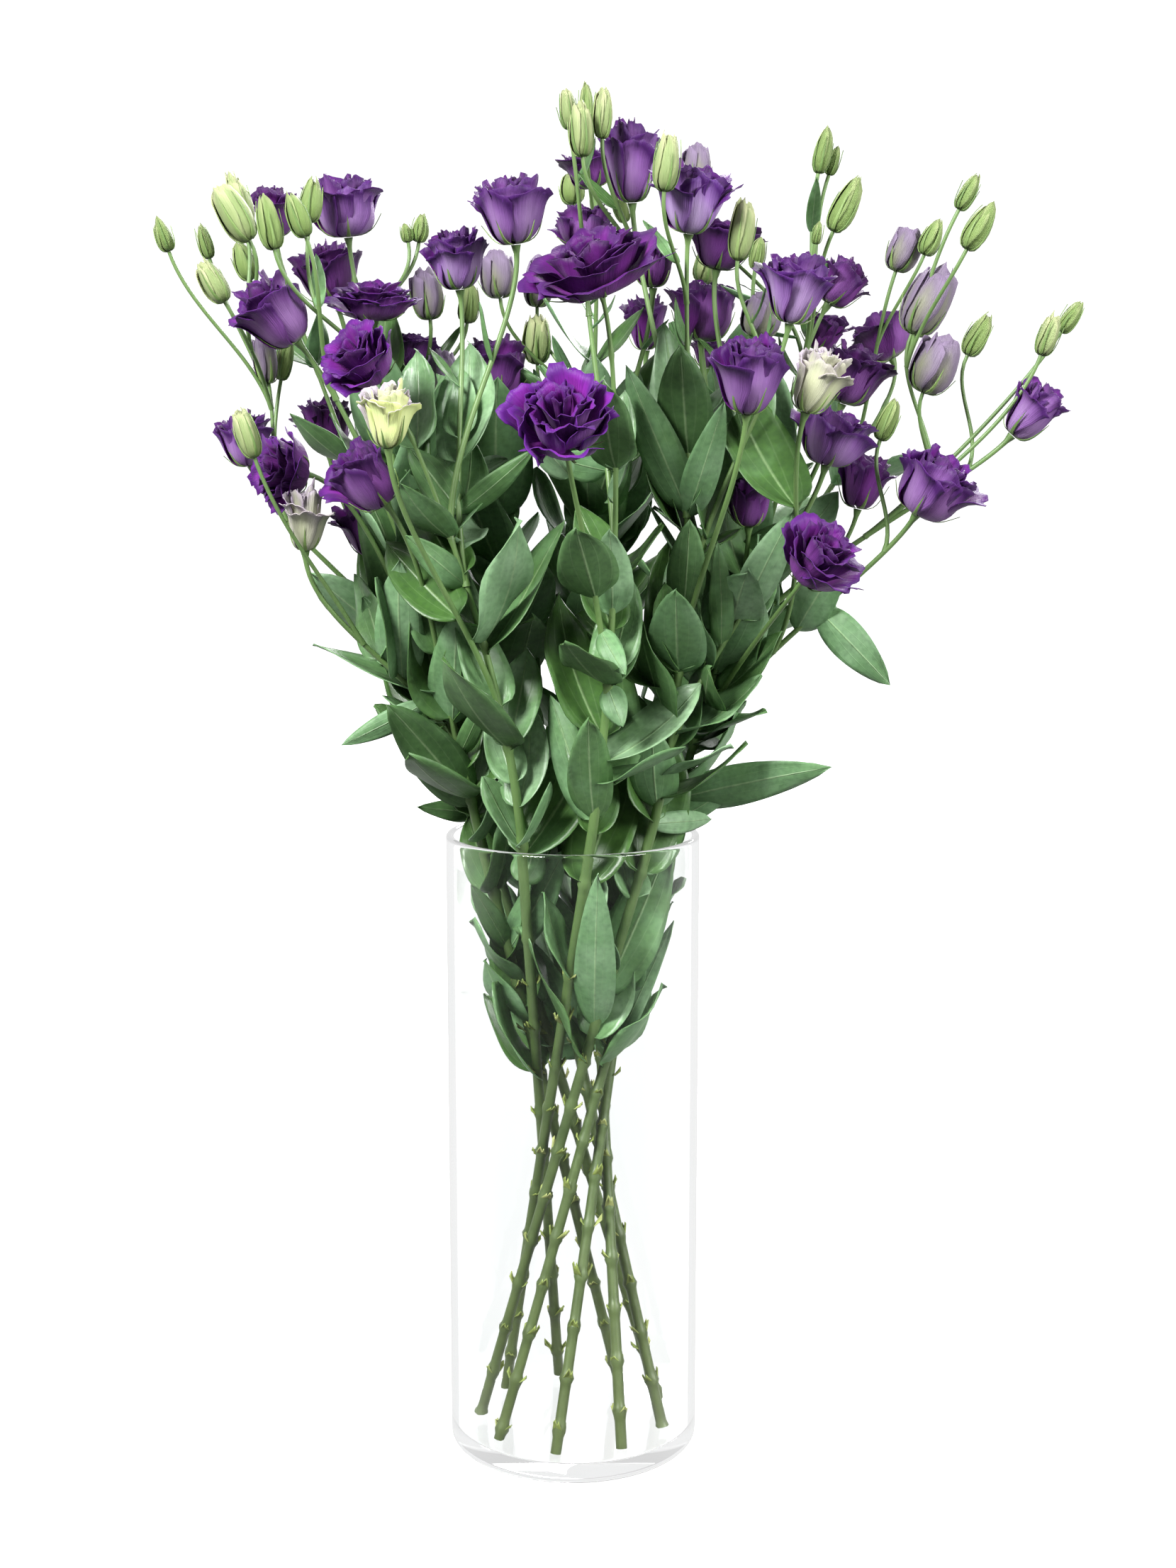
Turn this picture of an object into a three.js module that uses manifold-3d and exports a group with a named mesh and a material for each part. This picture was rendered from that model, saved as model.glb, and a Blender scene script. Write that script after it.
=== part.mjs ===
// A clear glass cylinder vase holding nine cut lisianthus stems: branching leafy stems with
// closed buds, each a solid of its own, and every open or half-open bloom on its own receptacle.
// Millimetres, +Z up, the origin at the middle of the vase's underside.

import * as THREE from "three";
import Module from "manifold-3d";

const wasm = await Module();
wasm.setup();

// The vase.
const VASE_RADIUS = 75;
const VASE_HEIGHT = 375;
const GLASS = 4.5;
const FLOOR_TOP = 12;
const VASE_FACETS = 28;

// The main stems cross like the straight rules of a waisted bundle.
const SEAT_GAP = 0.3;
const FOOT_RADIUS = 57;
const FOOT_TURN = 180;
const CROSSING_TURN = 140;
const STEM_RADIUS = 3.3;
const FORK_RADIUS = 2.1;
const BRANCH_RADIUS = 1.25;
const BUD_STALK_RADIUS = 1;
const RECEPTACLE_RADIUS = 2.6;
const RECEPTACLE_LENGTH = 5;
const STALK_STEP = 78;

// How thick a stem still is at the rim and one step above it, as a share of its foot.
const RIM_TAPER = 0.92;
const CROWN_TAPER = 0.8;

// Where a branch may leave a stalk: above the crossing, far enough below its head and not too far
// to the side. A step to the side counts for more than a step up when the nearest place is chosen.
const LOWEST_FORK = 215;
const BLOOM_REACH = 0.28;
const CROSSING_Z = 150;
const BUD_REACH = 44;
const STEEPEST_RUN = 0.8;
const RUN_COST = 1.6;
const FORK_SHARES = [0.2, 0.6];
const BRANCH_START = 0.9;
const BRANCH_SWELL = 1.3;

// How far a stalk's curve keeps its first direction, and how far it stands under its head.
const CURVE_START = 0.36;
const CURVE_END = 0.34;
const LONGEST_NECK = 40;

// How close the path of a branch or the blade of a leaf may come to another piece. A bloom counts as
// a body that flares up to half its height.
const BRANCH_MARGIN = 1.4;
const LEAF_MARGIN = 3.4;
const BLADE_MARGIN = 3.4;
const ROOT_SAMPLES = 15;
const BUD_SHIFTS = [0, 12, -12, 24, -24, 36, -36, 48, -48];
const GLASS_MARGIN = 3.5;
const RIM_MARGIN = 4;
const INNER_LIMIT = VASE_RADIUS - GLASS - GLASS_MARGIN;
const OUTER_LIMIT = VASE_RADIUS + RIM_MARGIN;
const FLARE_FOOT = 0.3;
const FLARE_HEIGHT = 0.5;
const WALK_STEP = 4;

// The point that the positions below were read from, in front of the vase.
const EYE = new THREE.Vector3(9, -1281, 604);

// Blooms: name, x and z of the base, x and z of the middle of the rim, both as seen on the plane
// through the vase's axis, then width, depth behind that plane, lean towards the viewer, and form.
const BLOOMS = [
  ["bloom_01", -168, 718, -170, 745, 25, 40, 4, "cup"],
  ["bloom_02", -127, 718, -130, 750, 43, -20, 4, "cup"],
  ["bloom_03", -135, 683, -146, 712, 38, 14, 4, "cup"],
  ["bloom_04", -157, 660, -183, 692, 36, -60, 6, "cup"],
  ["bloom_05", -113, 672, -113, 692, 50, -44, 4, "open"],
  ["bloom_06", -112, 640, -130, 660, 40, -95, 18, "open"],
  ["bloom_07", -94, 642, -94, 665, 30, 30, 0, "cup"],
  ["bloom_08", -140, 597, -143, 627, 28, 66, 0, "cup"],
  ["bloom_09", -185, 590, -193, 618, 30, 0, 4, "cup"],
  ["bloom_10", -155, 585, -180, 588, 42, -50, 14, "open"],
  ["bloom_11", -108, 568, -130, 597, 40, -90, 8, "cup"],
  ["bloom_12", -115, 539, -123, 570, 30, -10, 4, "cup"],
  ["bloom_13", -64, 689, -68, 722, 31, -40, 4, "cup"],
  ["bloom_14", -32, 714, -37, 750, 40, -60, 4, "cup"],
  ["bloom_15", 16, 688, 6, 715, 72, -110, 10, "open"],
  ["bloom_16", 7, 712, 7, 735, 35, -10, -4, "open"],
  ["bloom_17", -44, 627, -45, 660, 38, 50, 0, "cup"],
  ["bloom_18", -61, 612, -62, 632, 20, 92, 0, "cup"],
  ["bloom_19", -4, 603, -7, 630, 62, -140, 26, "open"],
  ["bloom_20", 34, 737, 32, 780, 30, -30, 4, "cup"],
  ["bloom_21", 12, 745, 8, 766, 28, 36, 0, "cup"],
  ["bloom_22", 66, 720, 70, 757, 38, -70, 6, "cup"],
  ["bloom_23", 82, 700, 87, 728, 35, 20, 0, "cup"],
  ["bloom_24", 46, 690, 46, 716, 25, 50, 0, "cup"],
  ["bloom_25", 74, 660, 77, 692, 40, 44, 0, "cup"],
  ["bloom_26", 42, 655, 41, 685, 22, 100, 0, "cup"],
  ["bloom_27", 100, 619, 103, 662, 36, -110, 6, "cup"],
  ["bloom_28", 78, 645, 78, 662, 20, 118, 0, "cup"],
  ["bloom_29", 124, 670, 132, 708, 36, -60, 4, "cup"],
  ["bloom_30", 146, 681, 160, 703, 27, 20, 0, "cup"],
  ["bloom_31", 183, 650, 170, 672, 34, 84, -4, "cup"],
  ["bloom_32", 140, 655, 147, 675, 25, 66, 0, "cup"],
  ["bloom_33", 155, 625, 165, 655, 36, 10, 0, "cup"],
  ["bloom_34", 253, 607, 275, 632, 30, 0, 4, "cup"],
  ["bloom_35", 199, 562, 217, 592, 46, -50, 8, "cup"],
  ["bloom_36", 165, 565, 170, 595, 30, 34, 0, "cup"],
  ["bloom_37", 146, 590, 153, 620, 40, -44, 4, "cup"],
  ["bloom_38", 102, 555, 102, 583, 28, -30, 4, "cup"],
  ["bloom_39", 135, 525, 152, 548, 45, -84, 16, "open"],
  ["pale_bloom_1", -106, 600, -107, 636, 27, -130, 4, "cup"],
  ["pale_bloom_2", -155, 541, -154, 578, 22, -70, 4, "cup"],
  ["pale_bloom_3", 134, 620, 146, 656, 30, -94, 4, "cup"],
];

// The bloom that each main stem ends in, in the order of the stems' feet round the vase.
const LEADERS = [
  "bloom_22", "bloom_30", "bloom_31", "bloom_21", "bloom_17",
  "bloom_01", "bloom_02", "bloom_06", "bloom_15",
];

// Closed buds: x and z of the base and of the tip as seen on that plane, width, depth.
const BUDS = [
  [-174, 636, -178, 664, 13, 14],
  [-81, 672, -84, 700, 17, 20],
  [-41, 684, -43, 710, 19, 62],
  [-20, 679, -18, 707, 16, 84],
  [-72, 620, -75, 655, 17, 6],
  [70, 745, 71, 768, 16, 50],
  [106, 662, 110, 686, 22, 6],
  [184, 699, 192, 723, 17, 60],
  [194, 664, 211, 700, 24, 10],
  [201, 631, 214, 663, 24, -10],
  [-229, 710, -235, 728, 10, 0],
  [-206, 706, -211, 724, 8, 12],
  [-198, 682, -211, 704, 14, -30],
  [-183, 716, -200, 745, 18, -44],
  [-185, 722, -193, 752, 14, -6],
  [-169, 711, -175, 740, 14, -74],
  [-183, 694, -190, 715, 13, 20],
  [-151, 718, -160, 742, 13, -84],
  [-149, 726, -146, 750, 13, -52],
  [-167, 638, -162, 663, 10, 30],
  [-183, 594, -192, 621, 13, -84],
  [-93, 715, -95, 725, 7, 60],
  [-87, 715, -85, 730, 10, 64],
  [-60, 670, -58, 691, 12, 46],
  [-20, 647, -20, 674, 16, 64],
  [-1, 777, -4, 798, 10, -40],
  [6, 762, 4, 792, 14, -64],
  [8, 775, 8, 801, 9, 0],
  [17, 772, 18, 799, 11, -54],
  [1, 736, -2, 753, 14, 60],
  [13, 732, 14, 750, 6, 74],
  [30, 726, 24, 745, 9, 74],
  [52, 743, 55, 775, 15, -88],
  [94, 705, 99, 739, 14, -66],
  [104, 700, 107, 718, 9, 4],
  [75, 692, 78, 711, 15, 70],
  [139, 753, 144, 777, 10, 20],
  [145, 752, 150, 767, 7, 26],
  [148, 721, 161, 749, 14, -12],
  [138, 714, 140, 726, 6, -20],
  [200, 708, 208, 727, 12, 50],
  [219, 733, 229, 752, 10, 0],
  [224, 711, 237, 736, 14, -24],
  [226, 652, 238, 675, 13, 12],
  [177, 604, 186, 627, 12, -32],
  [279, 665, 290, 682, 10, 4],
  [268, 652, 276, 675, 12, -10],
];

// Broad leaves that show in front: x and z of the base and of the tip, and width. The second list
// holds those behind the glass.
const FRONT_LEAVES = [
  [-93, 460, -104, 552, 40],
  [-62, 517, -100, 555, 20],
  [-40, 560, -94, 601, 21],
  [-39, 560, -20, 598, 14],
  [-63, 440, -68, 508, 30],
  [-71, 385, -108, 458, 30],
  [-100, 440, -135, 425, 14],
  [-12, 505, 2, 557, 34],
  [-16, 573, -29, 612, 17],
  [14, 576, -11, 595, 18],
  [47, 561, 30, 645, 24],
  [57, 560, 89, 628, 20],
  [42, 505, 25, 556, 24],
  [45, 508, 70, 560, 22],
  [92, 490, 87, 570, 26],
  [100, 500, 125, 564, 22],
  [138, 490, 156, 540, 24],
  [148, 500, 188, 465, 22],
  [79, 394, 152, 418, 24],
  [-5, 496, 31, 467, 14],
  [27, 470, 30, 437, 16],
  [12, 386, 5, 449, 26],
  [-5, 387, -15, 456, 24],
  [60, 384, 45, 437, 28],
  [-60, 420, -42, 468, 22],
];
const VASE_LEAVES = [
  [-42, 310, 2, 366, 22],
  [6, 265, 13, 362, 28],
  [27, 270, 59, 366, 34],
  [31, 243, 63, 331, 14],
  [-46, 294, -62, 350, 16],
  [-40, 338, -22, 368, 20],
];

const FRONT_LEANS = [0.3, 0.15, 0.45, 0, 0.65, -0.2, 0.9, -0.45];
const FRONT_SIZES = [1, 0.85, 0.7, 0.55];
const FRONT_BOW = 0.06;
const LEAF_SHARES = [0, 0.25, 0.5, 0.75];
const FRONT_PLANE = -60;
const BEHIND_COST = 0.25;

// Leaves that grow by rule: opposite pairs, each pair a quarter turn from the one below. Their
// heights are staggered from stem to stem.
const FIRST_PAIR_Z = 285;
const PAIR_STEP = 60;
const PAIR_STAGGER = 0.618;
const PAIR_LENGTHS = [98, 54];
const PAIR_WIDTHS = [48, 23];
const LEAF_RISE = 58;
const RULE_TURNS = [0, 16, -16, 32, -32, 48, -48];
const RULE_TILTS = [0, 14, -18];
const RULE_SIZES = [1, 0.8, 0.6];
const RULE_BOW = 0.08;
const LEAF_THICKNESS = 1.7;
const LEAF_FOLD = 0.16;
const SEED = 20261;

// Profiles along the axis of a bloom: height as a share of its length and radius as a share of its
// width, at the middle of a petal and between two petals. Where the share is larger between two
// petals, the ring belongs to the inner whorl, which stands in the gaps of the outer one.
const BLOOM_FORMS = {
  cup: [
    { height: [0.1, 0.1], radius: [0.26, 0.24] },
    { height: [0.5, 0.48], radius: [0.42, 0.38] },
    { height: [1, 0.82], radius: [0.51, 0.42] },
    { height: [0.64, 0.64], radius: [0.36, 0.34] },
    { height: [0.72, 0.98], radius: [0.2, 0.3] },
  ],
  open: [
    { height: [0.2, 0.2], radius: [0.22, 0.2] },
    { height: [0.66, 0.6], radius: [0.45, 0.38] },
    { height: [0.86, 0.74], radius: [0.56, 0.44] },
    { height: [0.6, 0.6], radius: [0.34, 0.35] },
    { height: [0.8, 1], radius: [0.22, 0.35] },
  ],
};
const PETALS = 5;
const HEART_HEIGHT = 0.7;
const RING_TWIST = 5;
const RIM_RING = 2;
const SHORTEST_PETAL = 0.93;

const BUD_RINGS = [[0.36, 0.5], [0.76, 0.3]];
const LEAF_STATIONS = [[0.07, 0.4], [0.38, 1], [0.74, 0.6]];

const up = new THREE.Vector3(0, 0, 1);
const radians = THREE.MathUtils.degToRad;

// Repeatable random numbers between 0 and 1.
let seed = SEED;
function random() {
  seed = (seed * 48271) % 2147483647;
  return seed / 2147483647;
}
const between = (low, high) => low + (high - low) * random();

// The point at a given depth that is seen at (x, z) on the plane through the vase's axis.
function seen(x, z, depth) {
  const reach = (depth - EYE.y) / -EYE.y;
  return new THREE.Vector3(EYE.x + (x - EYE.x) * reach, depth, EYE.z + (z - EYE.z) * reach);
}
const scaleAt = (depth) => (depth - EYE.y) / -EYE.y;

// A closed skin over rings of equally many points, from a first point to a last point.
function loft(first, rings, last) {
  const count = rings[0].length;
  const points = [first, ...rings.flat(), last];
  const at = (ring, side) => 1 + ring * count + (side % count);
  const faces = [];
  for (let side = 0; side < count; side++) {
    faces.push([0, at(0, side + 1), at(0, side)]);
    for (let ring = 0; ring + 1 < rings.length; ring++) {
      faces.push([at(ring, side), at(ring, side + 1), at(ring + 1, side + 1)]);
      faces.push([at(ring, side), at(ring + 1, side + 1), at(ring + 1, side)]);
    }
    faces.push([points.length - 1, at(rings.length - 1, side), at(rings.length - 1, side + 1)]);
  }
  const volume = faces.reduce(
    (sum, [a, b, c]) => sum + points[a].dot(points[b].clone().cross(points[c])), 0);
  if (volume < 0) faces.forEach((face) => face.reverse());
  const geometry = new THREE.BufferGeometry().setFromPoints(points);
  geometry.setIndex(faces.flat());
  return geometry;
}

// One solid from several closed geometries that run into each other.
function fuse(geometries) {
  const solids = geometries.map((geometry) => new wasm.Manifold(new wasm.Mesh({
    numProp: 3,
    vertProperties: new Float32Array(geometry.attributes.position.array),
    triVerts: new Uint32Array(geometry.index.array),
  })));
  const joined = wasm.Manifold.union(solids);
  const bodies = joined.decompose().sort((a, b) => b.volume() - a.volume());
  const mesh = bodies[0].getMesh();
  const geometry = new THREE.BufferGeometry();
  geometry.setAttribute("position", new THREE.BufferAttribute(mesh.vertProperties, 3));
  geometry.setIndex(new THREE.BufferAttribute(mesh.triVerts, 1));
  return geometry;
}

// A round rod through points, with a radius for each of them, and a point beyond its end if it
// has one.
function rod({ points, radii, sides, tip, hasFoot }) {
  let side = new THREE.Vector3(1, 0, 0);
  const rings = points.map((point, i) => {
    const ahead = points[Math.min(i + 1, points.length - 1)];
    const behind = points[Math.max(i - 1, 0)];
    const along = ahead.clone().sub(behind).normalize();
    side = side.clone().addScaledVector(along, -side.dot(along)).normalize();
    const other = along.clone().cross(side);
    return Array.from({ length: sides }, (_, k) => {
      const angle = (2 * Math.PI * k) / sides;
      const corner = point.clone()
        .addScaledVector(side, radii[i] * Math.cos(angle))
        .addScaledVector(other, radii[i] * Math.sin(angle));
      if (hasFoot && i === 0) corner.addScaledVector(along, (point.z - corner.z) / along.z);
      return corner;
    });
  });
  return loft(points[0], rings, tip ?? points[points.length - 1]);
}

// Blooms in space, and a bud that may be moved along the line of sight.
const blooms = BLOOMS.map(([name, x, z, rimX, rimZ, width, depth, lean, form]) => {
  const base = seen(x, z, depth);
  const rim = seen(rimX, rimZ, depth - lean);
  const axis = rim.clone().sub(base);
  return {
    name, base, form, length: axis.length(), axis: axis.clone().normalize(),
    width: width * scaleAt(depth), stalk: BRANCH_RADIUS, isBloom: true,
  };
});
function budAt([x, z, tipX, tipZ, width, depth], shift) {
  const base = seen(x, z, depth + shift);
  const axis = seen(tipX, tipZ, depth + shift).sub(base);
  return {
    base, length: axis.length(), axis: axis.clone().normalize(),
    width: width * scaleAt(depth + shift), stalk: BUD_STALK_RADIUS, isBloom: false,
  };
}

// Two axes square to a direction.
function squareTo(axis) {
  const helper = Math.abs(axis.z) < 0.9 ? up : new THREE.Vector3(1, 0, 0);
  const side = helper.clone().cross(axis).normalize();
  return [side, axis.clone().cross(side)];
}

// True if a point is within a margin of the flaring body of a bloom.
function inBloom(point, bloom, margin) {
  const offset = point.clone().sub(bloom.base);
  const height = offset.dot(bloom.axis);
  if (height < -margin || height > bloom.length * 1.05 + margin) return false;
  const flare = Math.min(1,
    FLARE_FOOT + ((1 - FLARE_FOOT) * Math.max(height, 0)) / (FLARE_HEIGHT * bloom.length));
  const radius = Math.sqrt(Math.max(offset.lengthSq() - height * height, 0));
  return radius < 0.5 * bloom.width * flare + margin;
}

// Distance from a point to a straight piece of a stalk.
function distanceTo(point, piece) {
  const run = piece.end.clone().sub(piece.start);
  const share = THREE.MathUtils.clamp(
    point.clone().sub(piece.start).dot(run) / run.lengthSq(), 0, 1);
  return point.distanceTo(piece.start.clone().addScaledVector(run, share));
}

// What has been placed so far: straight pieces of stalks and buds, and leaves, by main stem.
const pieces = [];
const leaves = [];

// True if a point below the rim is beyond the room that the glass leaves, up to an outer radius.
function isBarred(point, outerRadius) {
  const radius = Math.hypot(point.x, point.y);
  return point.z < VASE_HEIGHT + RIM_MARGIN && radius > INNER_LIMIT && radius < outerRadius;
}

// True if a path keeps clear of the vase, of every bloom but its own and of the other stems.
function pathIsClear(points, radius, stem, head) {
  return points.every((point) =>
    !isBarred(point, Infinity) &&
    blooms.every((bloom) => bloom === head || !inBloom(point, bloom, radius + BRANCH_MARGIN)) &&
    pieces.every((piece) => piece.stem === stem ||
      distanceTo(point, piece) > radius + piece.radius + BRANCH_MARGIN));
}

// Keeps the straight pieces between the points of a stalk, which later ones keep clear of.
function addStalk(stem, points, radii) {
  points.forEach((start, i) => {
    if (i + 1 === points.length) return;
    const end = points[i + 1];
    pieces.push({ stem, start, end, radius: Math.max(radii[i], radii[i + 1]) });
  });
}

// The curve from a point to the foot of a head, which it meets along the head's axis.
function reachTo(head, from, direction) {
  const foot = head.isBloom ? head.base.clone().addScaledVector(head.axis, -SEAT_GAP) : head.base;
  const span = from.distanceTo(foot);
  return new THREE.CubicBezierCurve3(
    from,
    from.clone().addScaledVector(direction, span * CURVE_START),
    foot.clone().addScaledVector(head.axis, -Math.min(span * CURVE_END, LONGEST_NECK)),
    foot);
}

// Points along a curve and their radii, up to the flared receptacle under a bloom or round the
// body of a bud.
function stalkPoints(curve, head, startRadius) {
  const span = curve.getLength();
  const steps = Math.max(2, Math.round(span / STALK_STEP));
  const points = curve.getSpacedPoints(steps);
  const radii = points.map((_, i) => startRadius + (head.stalk - startRadius) * Math.min(1, i / 2));
  if (head.isBloom) {
    const foot = points.pop();
    radii.pop();
    points.push(foot.clone().addScaledVector(head.axis, -RECEPTACLE_LENGTH), foot);
    radii.push(head.stalk, RECEPTACLE_RADIUS);
  }
  const tip = head.isBloom ? null : head.base.clone().addScaledVector(head.axis, head.length);
  const bare = points.length - (head.isBloom ? 2 : 1);
  if (!head.isBloom) {
    BUD_RINGS.forEach(([height, radius]) => {
      points.push(head.base.clone().addScaledVector(head.axis, head.length * height));
      radii.push(head.width * radius);
    });
  }
  return { points, radii, tip, bare };
}

// The nine main stems, from the vase's floor through the crossing and the rim to their own bloom.
const stems = LEADERS.map((name, k) => {
  const head = blooms.find((bloom) => bloom.name === name);
  const turn = radians(FOOT_TURN + (360 / LEADERS.length) * k);
  return { name: `stem_${k + 1}`, head, turn, firstPair: PAIR_STEP * ((k * PAIR_STAGGER) % 1) };
});
stems.forEach((stem) => {
  const footZ = FLOOR_TOP + SEAT_GAP;
  const foot = new THREE.Vector3(FOOT_RADIUS, 0, footZ).applyAxisAngle(up, stem.turn);
  const rim = new THREE.Vector3(FOOT_RADIUS, 0, VASE_HEIGHT)
    .applyAxisAngle(up, stem.turn + radians(CROSSING_TURN));
  const direction = rim.clone().sub(foot).normalize();
  const crown = reachTo(stem.head, rim, direction);
  const straight = LEAF_SHARES.map((share) => foot.clone().lerp(rim, share));
  const upper = stalkPoints(crown, stem.head, FORK_RADIUS);
  stem.points = [...straight, ...upper.points];
  stem.radii = [...straight.map(() => STEM_RADIUS), ...upper.radii];
  const bend = straight.length;
  stem.radii[bend] = STEM_RADIUS * RIM_TAPER;
  stem.radii[bend + 1] = STEM_RADIUS * CROWN_TAPER;
  stem.radii[bend + 2] = FORK_RADIUS;
  addStalk(stem, stem.points, stem.radii);
  stem.bare = stem.points.length - 2;
  stem.stalks = [{ points: stem.points, radii: stem.radii, bare: stem.bare, sides: 5, hasFoot: true }];
});

// Places on the stalks of all stems where a branch to a head may leave, the nearest first.
function placesFor(head) {
  const least = head.isBloom ? (head.base.z - CROSSING_Z) * BLOOM_REACH : BUD_REACH;
  const places = [];
  stems.forEach((stem) => stem.stalks.forEach(({ points, radii, bare }) => {
    for (let i = 1; i < bare; i++) {
      FORK_SHARES.forEach((share) => {
        const from = points[i].clone().lerp(points[i + 1], share);
        const rise = head.base.z - from.z;
        const run = Math.hypot(head.base.x - from.x, head.base.y - from.y);
        if (from.z < LOWEST_FORK || rise < least || rise < run * STEEPEST_RUN) return;
        const along = points[i + 1].clone().sub(points[i]).normalize();
        places.push({ stem, from, along, radius: radii[i], cost: rise + run * RUN_COST });
      });
    }
  }));
  return places.sort((a, b) => a.cost - b.cost);
}

// Points every few millimetres along straight pieces.
function walk(corners) {
  return corners.slice(1).flatMap((corner, i) => {
    const steps = Math.ceil(corner.distanceTo(corners[i]) / WALK_STEP);
    return Array.from({ length: steps }, (_, k) => corners[i].clone().lerp(corner, (k + 1) / steps));
  });
}

// The clear branch that reaches a head from the nearest place, if there is one.
function branchTo(head) {
  return placesFor(head).find((place) => {
    const outward = head.base.clone().sub(place.from).normalize();
    const direction = place.along.clone().add(outward).normalize();
    const curve = reachTo(head, place.from, direction);
    const startRadius = Math.min(place.radius * BRANCH_START, head.stalk * BRANCH_SWELL);
    place.stalk = stalkPoints(curve, head, startRadius);
    const body = head.isBloom ? [] : [0, 0.5, 1].map((share) =>
      head.base.clone().addScaledVector(head.axis, head.length * share));
    return pathIsClear(walk(place.stalk.points), head.stalk, place.stem, head) &&
      pathIsClear(body, head.width * 0.5, place.stem, head);
  });
}

// Every bloom and bud gets a branch. A bud whose way is barred is moved along the line of sight.
const unreached = [];
const waiting = [
  ...blooms.filter((bloom) => !LEADERS.includes(bloom.name)).map((bloom) => [bloom]),
  ...BUDS.map((row) => BUD_SHIFTS.map((shift) => budAt(row, shift))),
];
for (const choices of waiting) {
  const head = choices.find((choice) => {
    choice.found = branchTo(choice);
    return choice.found;
  });
  if (!head) {
    unreached.push(choices[0].name ?? `a bud at ${choices[0].base.toArray().map(Math.round)}`);
    continue;
  }
  const { stem, stalk } = head.found;
  stem.stalks.push({ ...stalk, sides: head.isBloom ? 3 : 4 });
  addStalk(stem, stalk.points, stalk.radii);
}
if (unreached.length) throw new Error(`no clear way to ${unreached.join(", ")}`);

// A leaf: its straight chord, the side and upper directions of its blade, and how far it bows.
function makeLeaf(base, tip, width, sideways, bow) {
  const chord = tip.clone().sub(base);
  const length = chord.length();
  const along = chord.normalize();
  const side = sideways.clone().addScaledVector(along, -sideways.dot(along)).normalize();
  return { base, along, side, over: side.clone().cross(along), length, width, bow };
}

// Half the width of a leaf's blade at a share of its length.
function halfWidth(leaf, share) {
  const t = THREE.MathUtils.clamp(share, 0, 1);
  return leaf.width * (0.2 + 0.3 * Math.sin(Math.PI * Math.pow(t, 0.75))) * Math.min(1, (1 - t) * 3);
}
const bowAt = (leaf, share) => leaf.bow * leaf.length * 4 * share * (1 - share);

function leafPoint(leaf, share, across) {
  return leaf.base.clone()
    .addScaledVector(leaf.along, leaf.length * share)
    .addScaledVector(leaf.side, halfWidth(leaf, share) * across)
    .addScaledVector(leaf.over, bowAt(leaf, share));
}

function leafSamples(leaf) {
  const samples = [];
  for (let row = 1; row <= 10; row++)
    [-1, -0.5, 0, 0.5, 1].forEach((across) => samples.push(leafPoint(leaf, row / 10, across)));
  return samples;
}

// True if a point is within a margin of a leaf's blade.
function inLeaf(point, leaf, margin) {
  const offset = point.clone().sub(leaf.base);
  const share = offset.dot(leaf.along) / leaf.length;
  if (share < -margin / leaf.length || share > 1 + margin / leaf.length) return false;
  if (Math.abs(offset.dot(leaf.side)) > halfWidth(leaf, share) + margin) return false;
  return Math.abs(offset.dot(leaf.over) - bowAt(leaf, share)) < margin;
}

// True if a leaf keeps clear of the glass, the blooms, the stalks and the other leaves. Near its
// root it may touch pieces of its own stem.
function leafIsClear(leaf, stem) {
  leaf.samples = leafSamples(leaf);
  const isFree = (sample, other, margin) => !inLeaf(sample, other, margin);
  return leaf.samples.every((point, i) => {
    const nearRoot = i < ROOT_SAMPLES;
    return !isBarred(point, OUTER_LIMIT) &&
      blooms.every((bloom) => !inBloom(point, bloom, LEAF_MARGIN)) &&
      pieces.every((piece) => (nearRoot && piece.stem === stem) ||
        distanceTo(point, piece) > piece.radius + LEAF_MARGIN) &&
      leaves.every((other) => (nearRoot && other.stem === stem) ||
        isFree(point, other, BLADE_MARGIN));
  }) && leaves.every((other) => other.samples.every((point, i) =>
    (i < ROOT_SAMPLES && other.stem === stem) || isFree(point, leaf, BLADE_MARGIN)));
}

// Adds the first of several leaves that is clear, or none.
function growLeaf(stem, choices) {
  const leaf = choices.find((choice) => leafIsClear(choice, stem));
  if (leaf) leaves.push({ ...leaf, stem });
}

// The broad leaves that were read from the front: each grows from the stalk seen nearest its base.
function nearestStalk(x, z) {
  let best = { score: Infinity };
  stems.forEach((stem) => stem.stalks.forEach(({ points, bare }) => {
    for (let i = 0; i < bare; i++) {
      LEAF_SHARES.forEach((share) => {
        const point = points[i].clone().lerp(points[i + 1], share);
        const off = point.distanceTo(seen(x, z, point.y));
        const score = off + Math.max(0, point.y - FRONT_PLANE) * BEHIND_COST;
        if (score < best.score) best = { score, stem, point };
      });
    }
  }));
  return best;
}
for (const [x, z, tipX, tipZ, width] of [...FRONT_LEAVES, ...VASE_LEAVES]) {
  const { stem, point } = nearestStalk(x, z);
  const toEye = EYE.clone().sub(point).normalize();
  const choices = [];
  FRONT_LEANS.forEach((lean) => FRONT_SIZES.forEach((size) => {
    const span = Math.hypot(tipX - x, tipZ - z);
    const tip = seen(tipX, tipZ, point.y - lean * span);
    const end = point.clone().lerp(tip, 0.4 + 0.6 * size);
    const sideways = end.clone().sub(point).cross(toEye).normalize();
    choices.push(makeLeaf(point, end, width * scaleAt(point.y) * size, sideways, FRONT_BOW));
  }));
  growLeaf(stem, choices);
}

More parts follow.
